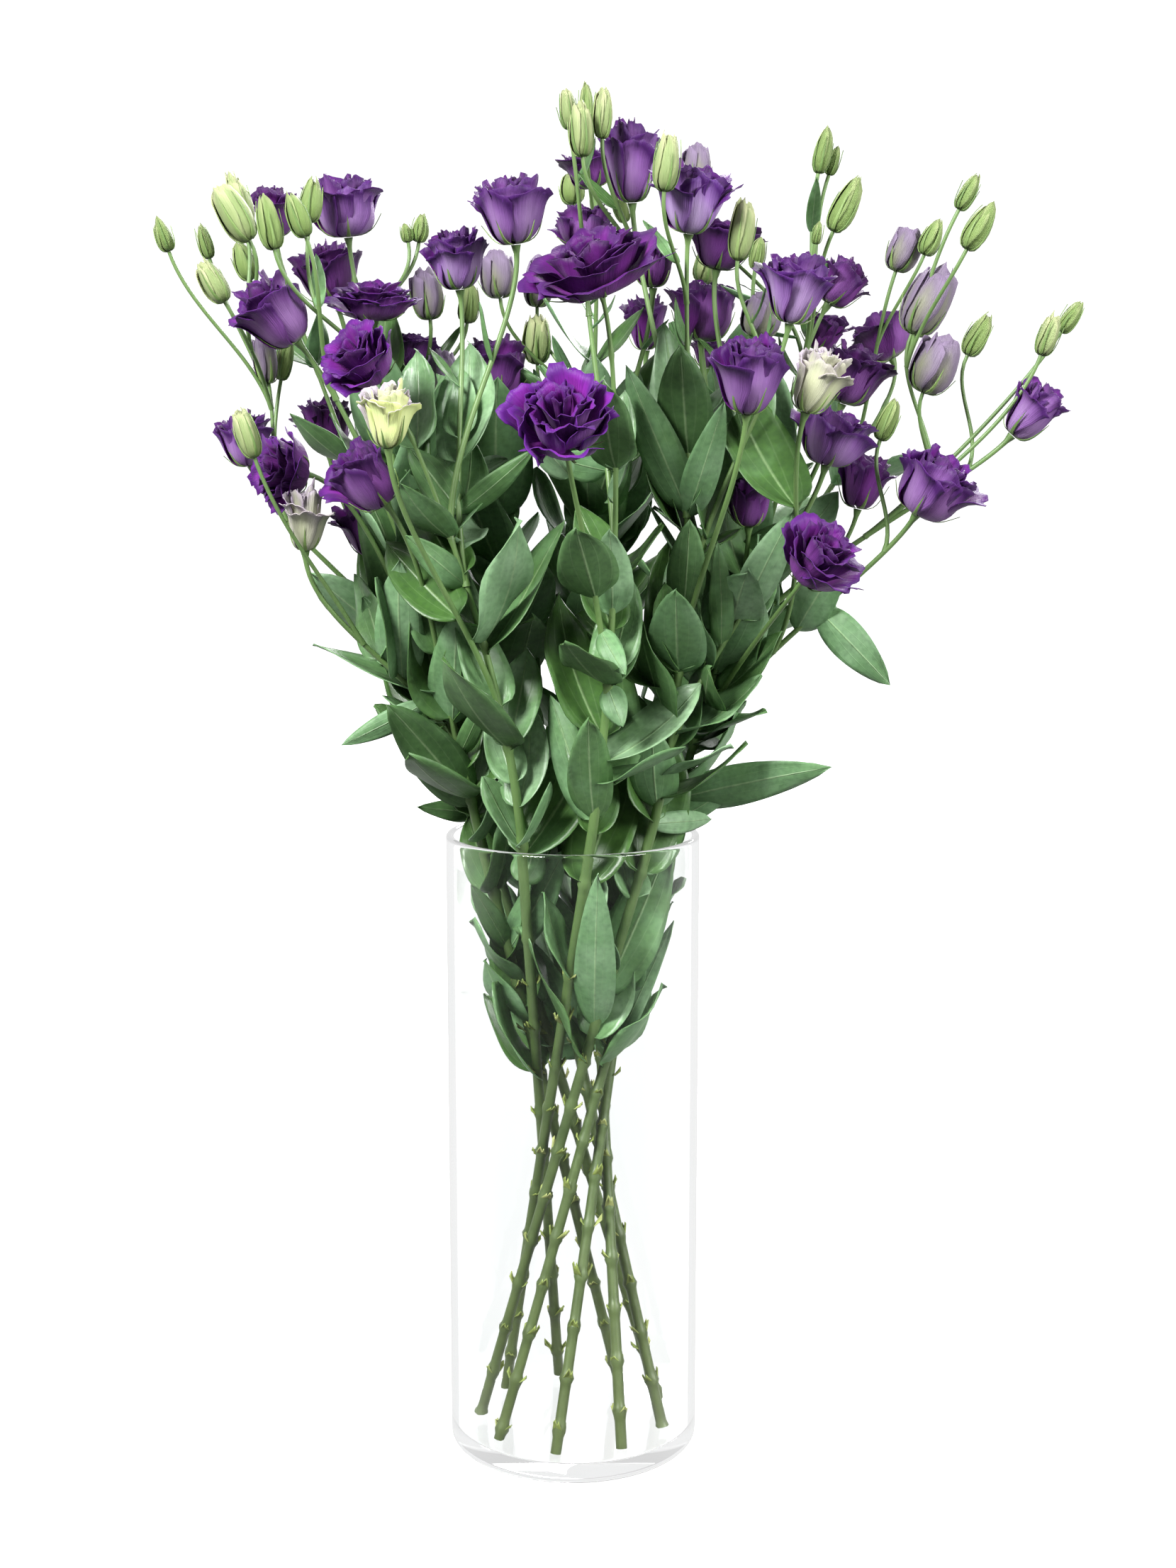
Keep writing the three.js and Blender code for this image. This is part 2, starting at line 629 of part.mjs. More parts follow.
// A leaf that leaves a stalk at a bearing, with turned, tilted and smaller ones to choose from.
function ruleLeafChoices(from, along, bearing, length, width) {
  const choices = [];
  const [side, other] = squareTo(along);
  RULE_TURNS.forEach((turned) => RULE_TILTS.forEach((tilted) => {
    const angle = bearing + radians(turned);
    const outward = side.clone().multiplyScalar(Math.cos(angle))
      .addScaledVector(other, Math.sin(angle));
    const rise = radians(LEAF_RISE + tilted);
    const direction = along.clone().multiplyScalar(Math.sin(rise))
      .addScaledVector(outward, Math.cos(rise));
    const sideways = along.clone().cross(outward);
    RULE_SIZES.forEach((size) => {
      const tip = from.clone().addScaledVector(direction, length * size);
      choices.push(makeLeaf(from, tip, width * size, sideways, RULE_BOW));
    });
  }));
  return choices;
}

// The place at some distance along the straight pieces between points, and the direction there.
function placeOn(points, distance) {
  let rest = distance;
  let i = 0;
  while (i + 2 < points.length && rest > points[i].distanceTo(points[i + 1])) {
    rest -= points[i].distanceTo(points[i + 1]);
    i++;
  }
  const along = points[i + 1].clone().sub(points[i]).normalize();
  return { from: points[i].clone().addScaledVector(along, rest), along };
}

// Opposite pairs along the main stems above the rim, smaller towards the top.
stems.forEach((stem) => {
  let bearing = between(0, Math.PI);
  const top = stem.points[stem.bare].z;
  for (let reach = stem.firstPair; ; reach += PAIR_STEP) {
    const { from, along } = placeOn(stem.points, reach);
    if (from.z > top - PAIR_STEP) break;
    if (from.z < FIRST_PAIR_Z) continue;
    const share = (from.z - FIRST_PAIR_Z) / (top - FIRST_PAIR_Z);
    [0, Math.PI].forEach((half) => {
      const size = between(0.85, 1.15);
      growLeaf(stem, ruleLeafChoices(from, along, bearing + half,
        THREE.MathUtils.lerp(...PAIR_LENGTHS, share) * size,
        THREE.MathUtils.lerp(...PAIR_WIDTHS, share) * size));
    });
    bearing += Math.PI / 2;
  }
});

// The blade of a leaf: a flat lens in section, its edges folded a little towards the stem.
function leafGeometry(leaf) {
  const rings = LEAF_STATIONS.map(([share, wide]) => {
    const middle = leafPoint(leaf, share, 0);
    const reach = 0.5 * leaf.width * wide;
    const fold = reach * LEAF_FOLD;
    return [
      middle.clone().addScaledVector(leaf.side, reach).addScaledVector(leaf.over, -fold),
      middle.clone().addScaledVector(leaf.over, LEAF_THICKNESS / 2),
      middle.clone().addScaledVector(leaf.side, -reach).addScaledVector(leaf.over, -fold),
      middle.clone().addScaledVector(leaf.over, -LEAF_THICKNESS / 2),
    ];
  });
  return loft(leafPoint(leaf, 0, 0), rings, leafPoint(leaf, 1, 0));
}

// A bloom: two whorls of five petals, the outer one flaring, round a short closed heart.
function bloomGeometry(bloom) {
  const [side, other] = squareTo(bloom.axis);
  const start = between(0, 2 * Math.PI);
  const lengths = Array.from({ length: PETALS }, () => between(SHORTEST_PETAL, 1));
  const rings = BLOOM_FORMS[bloom.form].map(({ height, radius }, i) =>
    Array.from({ length: 2 * PETALS }, (_, k) => {
      const angle = start + (Math.PI * k) / PETALS + radians(RING_TWIST) * i;
      const share = lengths[Math.floor(k / 2)];
      const reach = bloom.width * radius[k % 2] * (i === RIM_RING ? share : 1);
      return bloom.base.clone()
        .addScaledVector(bloom.axis, bloom.length * height[k % 2] * (i > 0 ? share : 1))
        .addScaledVector(side, reach * Math.cos(angle))
        .addScaledVector(other, reach * Math.sin(angle));
    }));
  const heart = bloom.base.clone().addScaledVector(bloom.axis, bloom.length * HEART_HEIGHT);
  return loft(bloom.base, rings, heart);
}

// The vase: a straight cylinder with a thick floor, a rounded foot and a rounded rim.
function vaseGeometry() {
  const inner = VASE_RADIUS - GLASS;
  const profile = [
    [0, 0], [VASE_RADIUS - 5, 0], [VASE_RADIUS - 1.4, 1.4], [VASE_RADIUS, 5],
    [VASE_RADIUS, VASE_HEIGHT - 2], [VASE_RADIUS - 1.2, VASE_HEIGHT - 0.3],
    [VASE_RADIUS - GLASS / 2, VASE_HEIGHT], [inner + 1.2, VASE_HEIGHT - 0.3],
    [inner, VASE_HEIGHT - 2], [inner, FLOOR_TOP + 5], [inner - 1.5, FLOOR_TOP + 1.5],
    [inner - 5, FLOOR_TOP], [0, FLOOR_TOP],
  ];
  const points = profile.map(([r, z]) => new THREE.Vector2(r, z));
  return new THREE.LatheGeometry(points, VASE_FACETS).rotateX(Math.PI / 2);
}

const materials = {
  glass: new THREE.MeshStandardMaterial({
    color: 0xdfe6e8, roughness: 0.05, metalness: 0, transparent: true, opacity: 0.35,
  }),
  stem: new THREE.MeshStandardMaterial({ color: 0x5d7f4e, roughness: 0.6, metalness: 0 }),
  petal: new THREE.MeshStandardMaterial({ color: 0x55298a, roughness: 0.55, metalness: 0 }),
  pale_petal: new THREE.MeshStandardMaterial({ color: 0xdfe8b8, roughness: 0.55, metalness: 0 }),
};

const flowers = new THREE.Group();

function place(name, geometry, material) {
  const mesh = new THREE.Mesh(geometry, material);
  mesh.name = name;
  flowers.add(mesh);
}

place("vase", vaseGeometry(), materials.glass);
stems.forEach((stem) => {
  const parts = stem.stalks.map(rod);
  parts.push(...leaves.filter((leaf) => leaf.stem === stem).map(leafGeometry));
  place(stem.name, fuse(parts), materials.stem);
});
blooms.forEach((bloom) => {
  const isPale = bloom.name.startsWith("pale");
  place(bloom.name, bloomGeometry(bloom), isPale ? materials.pale_petal : materials.petal);
});

export default flowers;
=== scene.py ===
import math

import bpy
import numpy as np
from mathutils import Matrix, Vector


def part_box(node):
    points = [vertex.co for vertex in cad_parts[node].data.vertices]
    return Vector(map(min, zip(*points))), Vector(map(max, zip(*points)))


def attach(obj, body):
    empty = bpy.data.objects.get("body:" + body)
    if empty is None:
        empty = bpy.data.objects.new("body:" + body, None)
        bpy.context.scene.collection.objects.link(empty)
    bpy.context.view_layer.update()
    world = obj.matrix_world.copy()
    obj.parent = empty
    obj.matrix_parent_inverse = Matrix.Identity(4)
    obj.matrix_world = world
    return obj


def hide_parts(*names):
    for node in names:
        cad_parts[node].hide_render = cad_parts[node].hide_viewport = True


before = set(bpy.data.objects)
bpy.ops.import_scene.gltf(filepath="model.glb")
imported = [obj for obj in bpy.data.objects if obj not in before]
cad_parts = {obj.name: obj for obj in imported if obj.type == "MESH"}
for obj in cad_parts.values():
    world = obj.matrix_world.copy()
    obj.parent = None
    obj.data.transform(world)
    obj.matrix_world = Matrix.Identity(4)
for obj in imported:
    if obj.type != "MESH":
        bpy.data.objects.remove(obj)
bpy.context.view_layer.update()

# The vase is a straight cylinder of clear glass, blown in a mould: a thick floor with a rounded
# foot, plain walls and a rim that was melted round. It is turned from a solid cylinder, which is
# sunk from the top.
MM = 0.001
_, vase_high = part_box("vase")
VASE_RADIUS = vase_high[0]
VASE_HEIGHT = vase_high[2]
GLASS = 4.5 * MM
FLOOR_THICKNESS = 12 * MM
FOOT_ROUNDING = 5 * MM
RIM_ROUNDING = 1.9 * MM
VASE_SIDES = 144
GLASS_BENDING = 1.4
GLASS_SMEAR = 0.015
TRAPPED_BOUNCES = 5.0
TRAPPED_GLOW = 0.7


def colour(code):
    """A colour written as #rrggbb, as the light that a shader works with."""
    shares = [int(code[i:i + 2], 16) / 255 for i in (1, 3, 5)]
    return tuple(s / 12.92 if s <= 0.04045 else ((s + 0.055) / 1.055) ** 2.4 for s in shares) + (1.0,)


def new_finish(name, roughness, shine=0.5):
    """An empty finish: its material, node tree, shader and Object coordinates."""
    material = bpy.data.materials.new(name)
    material.use_nodes = True
    tree = material.node_tree
    shader = tree.nodes["Principled BSDF"]
    shader.inputs["Roughness"].default_value = roughness
    shader.inputs["Specular IOR Level"].default_value = shine
    place = tree.nodes.new("ShaderNodeTexCoord")
    return material, tree, shader, place.outputs["Object"]


def add_noise(tree, source, scale, detail=3.0, stretch=(1, 1, 1)):
    """A cloudy pattern on some coordinates, which may be stretched."""
    mapping = tree.nodes.new("ShaderNodeMapping")
    mapping.inputs["Scale"].default_value = stretch
    noise = tree.nodes.new("ShaderNodeTexNoise")
    noise.inputs["Scale"].default_value = scale
    noise.inputs["Detail"].default_value = detail
    tree.links.new(source, mapping.inputs["Vector"])
    tree.links.new(mapping.outputs["Vector"], noise.inputs["Vector"])
    return noise.outputs["Fac"]


def add_ramp(tree, source, stops):
    """Colours along a value, as pairs of a place and a colour."""
    ramp = tree.nodes.new("ShaderNodeValToRGB")
    elements = ramp.color_ramp.elements
    for element, (place, shade) in zip(elements, (stops[0], stops[-1])):
        element.position = place
        element.color = colour(shade)
    for place, shade in stops[1:-1]:
        elements.new(place).color = colour(shade)
    tree.links.new(source, ramp.inputs["Fac"])
    return ramp.outputs["Color"]


def add_math(tree, operation, *values):
    """One sum on sockets or numbers."""
    step = tree.nodes.new("ShaderNodeMath")
    step.operation = operation
    for socket, value in zip(step.inputs, values):
        if isinstance(value, (int, float)):
            socket.default_value = value
        else:
            tree.links.new(value, socket)
    return step.outputs[0]


def multiply(tree, first, second):
    return add_math(tree, "MULTIPLY", first, second)


def add(tree, first, second):
    return add_math(tree, "ADD", first, second)


def begin_edit(test, kind="FACE"):
    """Selects the faces or edges that pass a test on their places, and opens edit mode on them."""
    mesh = bpy.context.object.data
    bpy.ops.object.mode_set(mode="EDIT")
    bpy.ops.mesh.select_mode(type=kind)
    bpy.ops.mesh.select_all(action="DESELECT")
    bpy.ops.object.mode_set(mode="OBJECT")
    for part in mesh.polygons if kind == "FACE" else mesh.edges:
        part.select = all(test(mesh.vertices[i].co) for i in part.vertices)
    bpy.ops.object.mode_set(mode="EDIT")


bpy.ops.object.select_all(action="DESELECT")
bpy.ops.mesh.primitive_cylinder_add(vertices=VASE_SIDES, radius=VASE_RADIUS, depth=VASE_HEIGHT,
                                    location=(0, 0, VASE_HEIGHT / 2))
vase = bpy.context.object
vase.name = "glass_vase"
bpy.ops.object.transform_apply(location=True, rotation=True, scale=True)
begin_edit(lambda place: place.z > VASE_HEIGHT - MM)
bpy.ops.mesh.inset(thickness=GLASS)
bpy.ops.mesh.extrude_region_move(
    TRANSFORM_OT_translate={"value": (0, 0, FLOOR_THICKNESS - VASE_HEIGHT)})
bpy.ops.object.mode_set(mode="OBJECT")
begin_edit(lambda place: place.z < MM, "EDGE")
bpy.ops.mesh.bevel(offset=FOOT_ROUNDING, segments=6)
bpy.ops.object.mode_set(mode="OBJECT")
rounding = vase.modifiers.new("rounding", "BEVEL")
rounding.width = RIM_ROUNDING
rounding.segments = 5
rounding.limit_method = "ANGLE"
rounding.angle_limit = math.radians(50)
bpy.ops.object.modifier_apply(modifier="rounding")

# Rings near the foot, the floor and the rim keep the smooth shading of the plain wall off them.
for height in (FOOT_ROUNDING + MM, FLOOR_THICKNESS + 3 * MM, VASE_HEIGHT - 3 * MM):
    bpy.ops.object.mode_set(mode="EDIT")
    bpy.ops.mesh.select_all(action="SELECT")
    bpy.ops.mesh.bisect(plane_co=(0, 0, height), plane_no=(0, 0, 1))
    bpy.ops.object.mode_set(mode="OBJECT")
bpy.ops.object.shade_smooth_by_angle(angle=math.radians(30))

clear_glass, tree, shader, place = new_finish("clear glass", 0.0)
shader.inputs["Transmission Weight"].default_value = 1.0
shader.inputs["IOR"].default_value = GLASS_BENDING
tint = add_noise(tree, place, 9.0)
tree.links.new(add_ramp(tree, tint, [(0.3, "#fbfdfd"), (0.7, "#ffffff")]), shader.inputs["Base Color"])
smear = add_noise(tree, place, 14.0, 4.0, (1, 1, 0.4))
tree.links.new(multiply(tree, smear, GLASS_SMEAR), shader.inputs["Roughness"])

# Light that is thrown to and fro in the glass too often is dropped, which would leave the foot and
# the rim black, so the glass glows for it.
path = tree.nodes.new("ShaderNodeLightPath")
is_trapped = add_math(tree, "GREATER_THAN", path.outputs["Ray Depth"], TRAPPED_BOUNCES)
tree.links.new(multiply(tree, is_trapped, TRAPPED_GLOW), shader.inputs["Emission Strength"])
shader.inputs["Emission Color"].default_value = (1, 1, 1, 1)
vase.data.materials.append(clear_glass)
vase.visible_shadow = False
vase.visible_diffuse = False
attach(vase, "root")
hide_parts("vase")

# The stems are nine cut stalks that stand on the vase's floor, cross in its middle and branch above
# the crossing. Every bloom and bud has a stalk of its own, which leaves the nearest stem from which
# the way to it is clear. All places here are in millimetres, as they were measured.
EYE = np.array((9.0, -1281.0, 604.0))
SEAT_GAP = 0.3
FOOT_Z = 12.3
RIM_Z = 375.0
FOOT_RADIUS = 57.0
FOOT_TURN = 180.0
CROSSING_TURN = 140.0
STEM_RADIUS = 3.3
FORK_RADIUS = 2.1
BRANCH_RADIUS = 1.25
BUD_STALK_RADIUS = 1.0
RECEPTACLE_RADIUS = 2.6
RECEPTACLE_LENGTH = 5.0
STALK_STEP = 78.0
RIM_TAPER = 0.92
CROWN_TAPER = 0.8
LOWEST_FORK = 215
BLOOM_REACH = 0.28
CROSSING_Z = 150
BUD_REACH = 44
STEEPEST_RUN = 0.8
RUN_COST = 1.6
FORK_SHARES = (0.2, 0.6)
BRANCH_START = 0.9
BRANCH_SWELL = 1.3
CURVE_START = 0.36
CURVE_END = 0.34
LONGEST_NECK = 40
BRANCH_MARGIN = 1.4
INNER_LIMIT = 67.0
RIM_MARGIN = 4
FLARE_FOOT = 0.3
FLARE_HEIGHT = 0.5
BLOOM_TOP = 1.05
QUARTERS = (0, 0.25, 0.5, 0.75)
CURVE_SAMPLES = 201
WALK_STEP = 4
BUD_SHIFTS = (0, 12, -12, 24, -24, 36, -36, 48, -48)
BUD_RINGS = ((0.36, 0.5), (0.76, 0.3))
PAIR_STEP = 60
PAIR_STAGGER = 0.618

# Name, x and z of the base, x and z of the middle of the rim, both as seen on the plane through the
# vase's axis, then width, depth behind that plane, lean towards the viewer, form, how pale the
# outside of the petals is and how bright their inside is. These last two are partly the blooms' own
# colour and partly painted shade: every bloom that sits behind that plane gets the dull values.
BLOOMS = [
    ("bloom_01", -168, 718, -170, 745, 25, 40, 4, "cup", 0.1, 0.15),
    ("bloom_02", -127, 718, -130, 750, 43, -20, 4, "cup", 0.6, 0.35),
    ("bloom_03", -135, 683, -146, 712, 38, 14, 4, "cup", 0.1, 0.15),
    ("bloom_04", -157, 660, -183, 692, 36, -60, 6, "cup", 0.3, 0.6),
    ("bloom_05", -113, 672, -113, 692, 50, -44, 4, "open", 0.12, 0.8),
    ("bloom_06", -112, 640, -130, 660, 40, -95, 18, "open", 0.15, 0.85),
    ("bloom_07", -94, 642, -94, 665, 30, 30, 0, "cup", 0.2, 0.15),
    ("bloom_08", -140, 597, -143, 627, 28, 66, 0, "cup", 0.1, 0.15),
    ("bloom_09", -185, 590, -193, 618, 30, 0, 4, "cup", 0.6, 0.3),
    ("bloom_10", -155, 585, -180, 588, 42, -50, 14, "open", 0.15, 0.75),
    ("bloom_11", -108, 568, -130, 597, 40, -90, 8, "cup", 0.2, 0.6),
    ("bloom_12", -115, 539, -123, 570, 30, -10, 4, "cup", 0.1, 0.15),
    ("bloom_13", -64, 689, -68, 722, 31, -40, 4, "cup", 0.8, 0.3),
    ("bloom_14", -32, 714, -37, 750, 40, -60, 4, "cup", 0.6, 0.4),
    ("bloom_15", 16, 688, 6, 715, 72, -110, 10, "open", 0, 0.3),
    ("bloom_16", 7, 712, 7, 735, 35, -10, -4, "open", 0.15, 0.45),
    ("bloom_17", -44, 627, -45, 660, 38, 50, 0, "cup", 0.1, 0.15),
    ("bloom_18", -61, 612, -62, 632, 20, 92, 0, "cup", 0.1, 0.15),
    ("bloom_19", -4, 603, -7, 630, 62, -140, 26, "open", 0.35, 1),
    ("bloom_20", 34, 737, 32, 780, 30, -30, 4, "cup", 0.55, 0.35),
    ("bloom_21", 12, 745, 8, 766, 28, 36, 0, "cup", 0.1, 0.15),
    ("bloom_22", 66, 720, 70, 757, 38, -70, 6, "cup", 1, 0.35),
    ("bloom_23", 82, 700, 87, 728, 35, 20, 0, "cup", 0.15, 0.15),
    ("bloom_24", 46, 690, 46, 716, 25, 50, 0, "cup", 0.1, 0.15),
    ("bloom_25", 74, 660, 77, 692, 40, 44, 0, "cup", 0.1, 0.15),
    ("bloom_26", 42, 655, 41, 685, 22, 100, 0, "cup", 0.1, 0.15),
    ("bloom_27", 100, 619, 103, 662, 36, -110, 6, "cup", 0.45, 0.5),
    ("bloom_28", 78, 645, 78, 662, 20, 118, 0, "cup", 0.1, 0.15),
    ("bloom_29", 124, 670, 132, 708, 36, -60, 4, "cup", 0.85, 0.4),
    ("bloom_30", 146, 681, 160, 703, 27, 20, 0, "cup", 0.1, 0.15),
    ("bloom_31", 183, 650, 170, 672, 34, 84, -4, "cup", 0.1, 0.15),
    ("bloom_32", 140, 655, 147, 675, 25, 66, 0, "cup", 0.1, 0.15),
    ("bloom_33", 155, 625, 165, 655, 36, 10, 0, "cup", 0.15, 0.15),
    ("bloom_34", 253, 607, 275, 632, 30, 0, 4, "cup", 0.5, 0.5),
    ("bloom_35", 199, 562, 217, 592, 46, -50, 8, "cup", 0.4, 0.6),
    ("bloom_36", 165, 565, 170, 595, 30, 34, 0, "cup", 0.1, 0.15),
    ("bloom_37", 146, 590, 153, 620, 40, -44, 4, "cup", 0.6, 0.4),
    ("bloom_38", 102, 555, 102, 583, 28, -30, 4, "cup", 0.1, 0.15),
    ("bloom_39", 135, 525, 152, 548, 45, -84, 16, "open", 0.12, 0.55),
    ("pale_bloom_1", -106, 600, -107, 636, 27, -130, 4, "cup", 1, 0.15),
    ("pale_bloom_2", -155, 541, -154, 578, 22, -70, 4, "cup", 0, 0.15),
    ("pale_bloom_3", 134, 620, 146, 656, 30, -94, 4, "cup", 0.3, 0.15),
]

# The bloom that each main stem ends in, in the order of the stems' feet round the vase.
LEADERS = ("bloom_22", "bloom_30", "bloom_31", "bloom_21", "bloom_17",
           "bloom_01", "bloom_02", "bloom_06", "bloom_15")

# Closed buds: x and z of the base and of the tip as seen on that plane, width, depth and kind.
BUDS = [
    (-174, 636, -178, 664, 13, 14, "grey"),
    (-81, 672, -84, 700, 17, 20, "grey"),
    (-41, 684, -43, 710, 19, 62, "grey"),
    (-20, 679, -18, 707, 16, 84, "grey"),
    (-72, 620, -75, 655, 17, 6, "grey"),
    (70, 745, 71, 768, 16, 50, "grey"),
    (106, 662, 110, 686, 22, 6, "grey"),
    (184, 699, 192, 723, 17, 60, "grey"),
    (194, 664, 211, 700, 24, 10, "grey"),
    (201, 631, 214, 663, 24, -10, "grey"),
    (-229, 710, -235, 728, 10, 0, "green"),
    (-206, 706, -211, 724, 8, 12, "green"),
    (-198, 682, -211, 704, 14, -30, "pale"),
    (-183, 716, -200, 745, 18, -44, "pale"),
    (-185, 722, -193, 752, 14, -6, "pale"),
    (-169, 711, -175, 740, 14, -74, "green"),
    (-183, 694, -190, 715, 13, 20, "green"),
    (-151, 718, -160, 742, 13, -84, "green"),
    (-149, 726, -146, 750, 13, -52, "green"),
    (-167, 638, -162, 663, 10, 30, "green"),
    (-183, 594, -192, 621, 13, -84, "pale"),
    (-93, 715, -95, 725, 7, 60, "green"),
    (-87, 715, -85, 730, 10, 64, "green"),
    (-60, 670, -58, 691, 12, 46, "green"),
    (-20, 647, -20, 674, 16, 64, "pale"),
    (-1, 777, -4, 798, 10, -40, "pale"),
    (6, 762, 4, 792, 14, -64, "pale"),
    (8, 775, 8, 801, 9, 0, "green"),
    (17, 772, 18, 799, 11, -54, "pale"),
    (1, 736, -2, 753, 14, 60, "green"),
    (13, 732, 14, 750, 6, 74, "green"),
    (30, 726, 24, 745, 9, 74, "green"),
    (52, 743, 55, 775, 15, -88, "pale"),
    (94, 705, 99, 739, 14, -66, "pale"),
    (104, 700, 107, 718, 9, 4, "green"),
    (75, 692, 78, 711, 15, 70, "pale"),
    (139, 753, 144, 777, 10, 20, "green"),
    (145, 752, 150, 767, 7, 26, "green"),
    (148, 721, 161, 749, 14, -12, "green"),
    (138, 714, 140, 726, 6, -20, "green"),
    (200, 708, 208, 727, 12, 50, "green"),
    (219, 733, 229, 752, 10, 0, "green"),
    (224, 711, 237, 736, 14, -24, "green"),
    (226, 652, 238, 675, 13, 12, "green"),
    (177, 604, 186, 627, 12, -32, "green"),
    (279, 665, 290, 682, 10, 4, "green"),
    (268, 652, 276, 675, 12, -10, "pale"),
]


def unit(vector):
    return vector / math.sqrt(float(vector @ vector))


def reach_at(depth):
    """How much larger a thing at some depth is than it looks on the plane through the axis."""
    return (depth - EYE[1]) / -EYE[1]


def seen(x, z, depth):
    """The point at a depth that is seen at (x, z) on the plane through the vase's axis."""
    reach = reach_at(depth)
    return np.array((EYE[0] + (x - EYE[0]) * reach, depth, EYE[2] + (z - EYE[2]) * reach))


def new_head(name, base, end, width, stalk, kind, pale=0.0, bright=0.0):
    """A bloom or bud: where it sits, which way it points and how large it is."""
    axis = end - base
    length = math.sqrt(float(axis @ axis))
    return {"name": name, "base": base, "axis": axis / length, "length": length, "width": width,
            "stalk": stalk, "kind": kind, "pale": pale, "bright": bright, "is_bloom": name != "bud"}


blooms = [new_head(name, seen(x, z, depth), seen(rim_x, rim_z, depth - lean), width * reach_at(depth),
                   BRANCH_RADIUS, form, pale, bright)
          for name, x, z, rim_x, rim_z, width, depth, lean, form, pale, bright in BLOOMS]
bloom_base = np.array([bloom["base"] for bloom in blooms])
bloom_axis = np.array([bloom["axis"] for bloom in blooms])
bloom_length = np.array([bloom["length"] for bloom in blooms])
bloom_width = np.array([bloom["width"] for bloom in blooms])


def in_blooms(points, margin, own=None):
    """Which points are within a margin of the flaring body of a bloom that isn't their own."""
    offset = points[:, None, :] - bloom_base[None]
    height = np.einsum("nbi,bi->nb", offset, bloom_axis)
    flare = FLARE_FOOT + (1 - FLARE_FOOT) * np.maximum(height, 0) / (FLARE_HEIGHT * bloom_length)
    radius = np.sqrt(np.maximum((offset ** 2).sum(2) - height ** 2, 0))
    inside = ((height >= -margin) & (height <= bloom_length * BLOOM_TOP + margin)
              & (radius < 0.5 * bloom_width * np.minimum(1, flare) + margin))
    if own is not None:
        inside[:, own] = False
    return inside.any(1)


pieces = []


def near_pieces(points, radius, stem=None):
    """Which points are within a radius of a stalk or bud of another stem."""
    chosen = [piece for piece in pieces if piece[3] is not stem]
    if not chosen:
        return np.zeros(len(points), bool)
    start = np.array([piece[0] for piece in chosen])
    run = np.array([piece[1] for piece in chosen]) - start
    thick = np.array([piece[2] for piece in chosen])
    offset = points[:, None, :] - start[None]
    share = np.clip((offset * run).sum(2) / (run ** 2).sum(1), 0, 1)
    away = offset - share[:, :, None] * run[None]
    return (np.sqrt((away ** 2).sum(2)) <= thick + radius).any(1)


def barred(points, outer_radius=math.inf):
    """Which points below the rim are beyond the room that the glass leaves."""
    radius = np.hypot(points[:, 0], points[:, 1])
    return (points[:, 2] < RIM_Z + RIM_MARGIN) & (radius > INNER_LIMIT) & (radius < outer_radius)


def path_is_clear(points, radius, stem, own):
    return not (barred(points).any() or in_blooms(points, radius + BRANCH_MARGIN, own).any()
                or near_pieces(points, radius + BRANCH_MARGIN, stem).any())


def reach_to(head, start, direction):
    """The four control points of the curve from a place to the foot of a head."""
    foot = head["base"] - head["axis"] * SEAT_GAP if head["is_bloom"] else head["base"]
    span = math.sqrt(float((foot - start) @ (foot - start)))
    return np.array((start, start + direction * span * CURVE_START,
                     foot - head["axis"] * min(span * CURVE_END, LONGEST_NECK), foot))


def on_curve(controls, shares):
    """Points on a curve of four control points, evenly spaced where the shares are, and its length."""
    def at(t):
        t = t[:, None]
        return ((1 - t) ** 3 * controls[0] + 3 * (1 - t) ** 2 * t * controls[1]
                + 3 * (1 - t) * t ** 2 * controls[2] + t ** 3 * controls[3])
    t = np.linspace(0, 1, CURVE_SAMPLES)
    steps = np.sqrt((np.diff(at(t), axis=0) ** 2).sum(1))
    reached = np.concatenate(([0], np.cumsum(steps)))
    return at(np.interp(np.asarray(shares) * reached[-1], reached, t)), reached[-1]


def stalk_points(controls, head, start_radius):
    """The coarse points of a stalk that the clearances are judged by, and their radii."""
    span = on_curve(controls, [0])[1]
    steps = max(2, math.floor(span / STALK_STEP + 0.5))
    points = list(on_curve(controls, np.arange(steps + 1) / steps)[0])
    radii = [start_radius + (head["stalk"] - start_radius) * min(1, i / 2) for i in range(steps + 1)]
    if head["is_bloom"]:
        foot = points.pop()
        radii.pop()
        points += [foot - head["axis"] * RECEPTACLE_LENGTH, foot]
        radii += [head["stalk"], RECEPTACLE_RADIUS]
    bare = len(points) - (2 if head["is_bloom"] else 1)
    if not head["is_bloom"]:
        for height, radius in BUD_RINGS:
            points.append(head["base"] + head["axis"] * head["length"] * height)
            radii.append(head["width"] * radius)
    return {"points": points, "radii": radii, "bare": bare, "controls": controls, "head": head}


def add_stalk(stem, stalk):
    stem["stalks"].append(stalk)
    for i in range(len(stalk["points"]) - 1):
        pieces.append((stalk["points"][i], stalk["points"][i + 1],
                       max(stalk["radii"][i], stalk["radii"][i + 1]), stem))


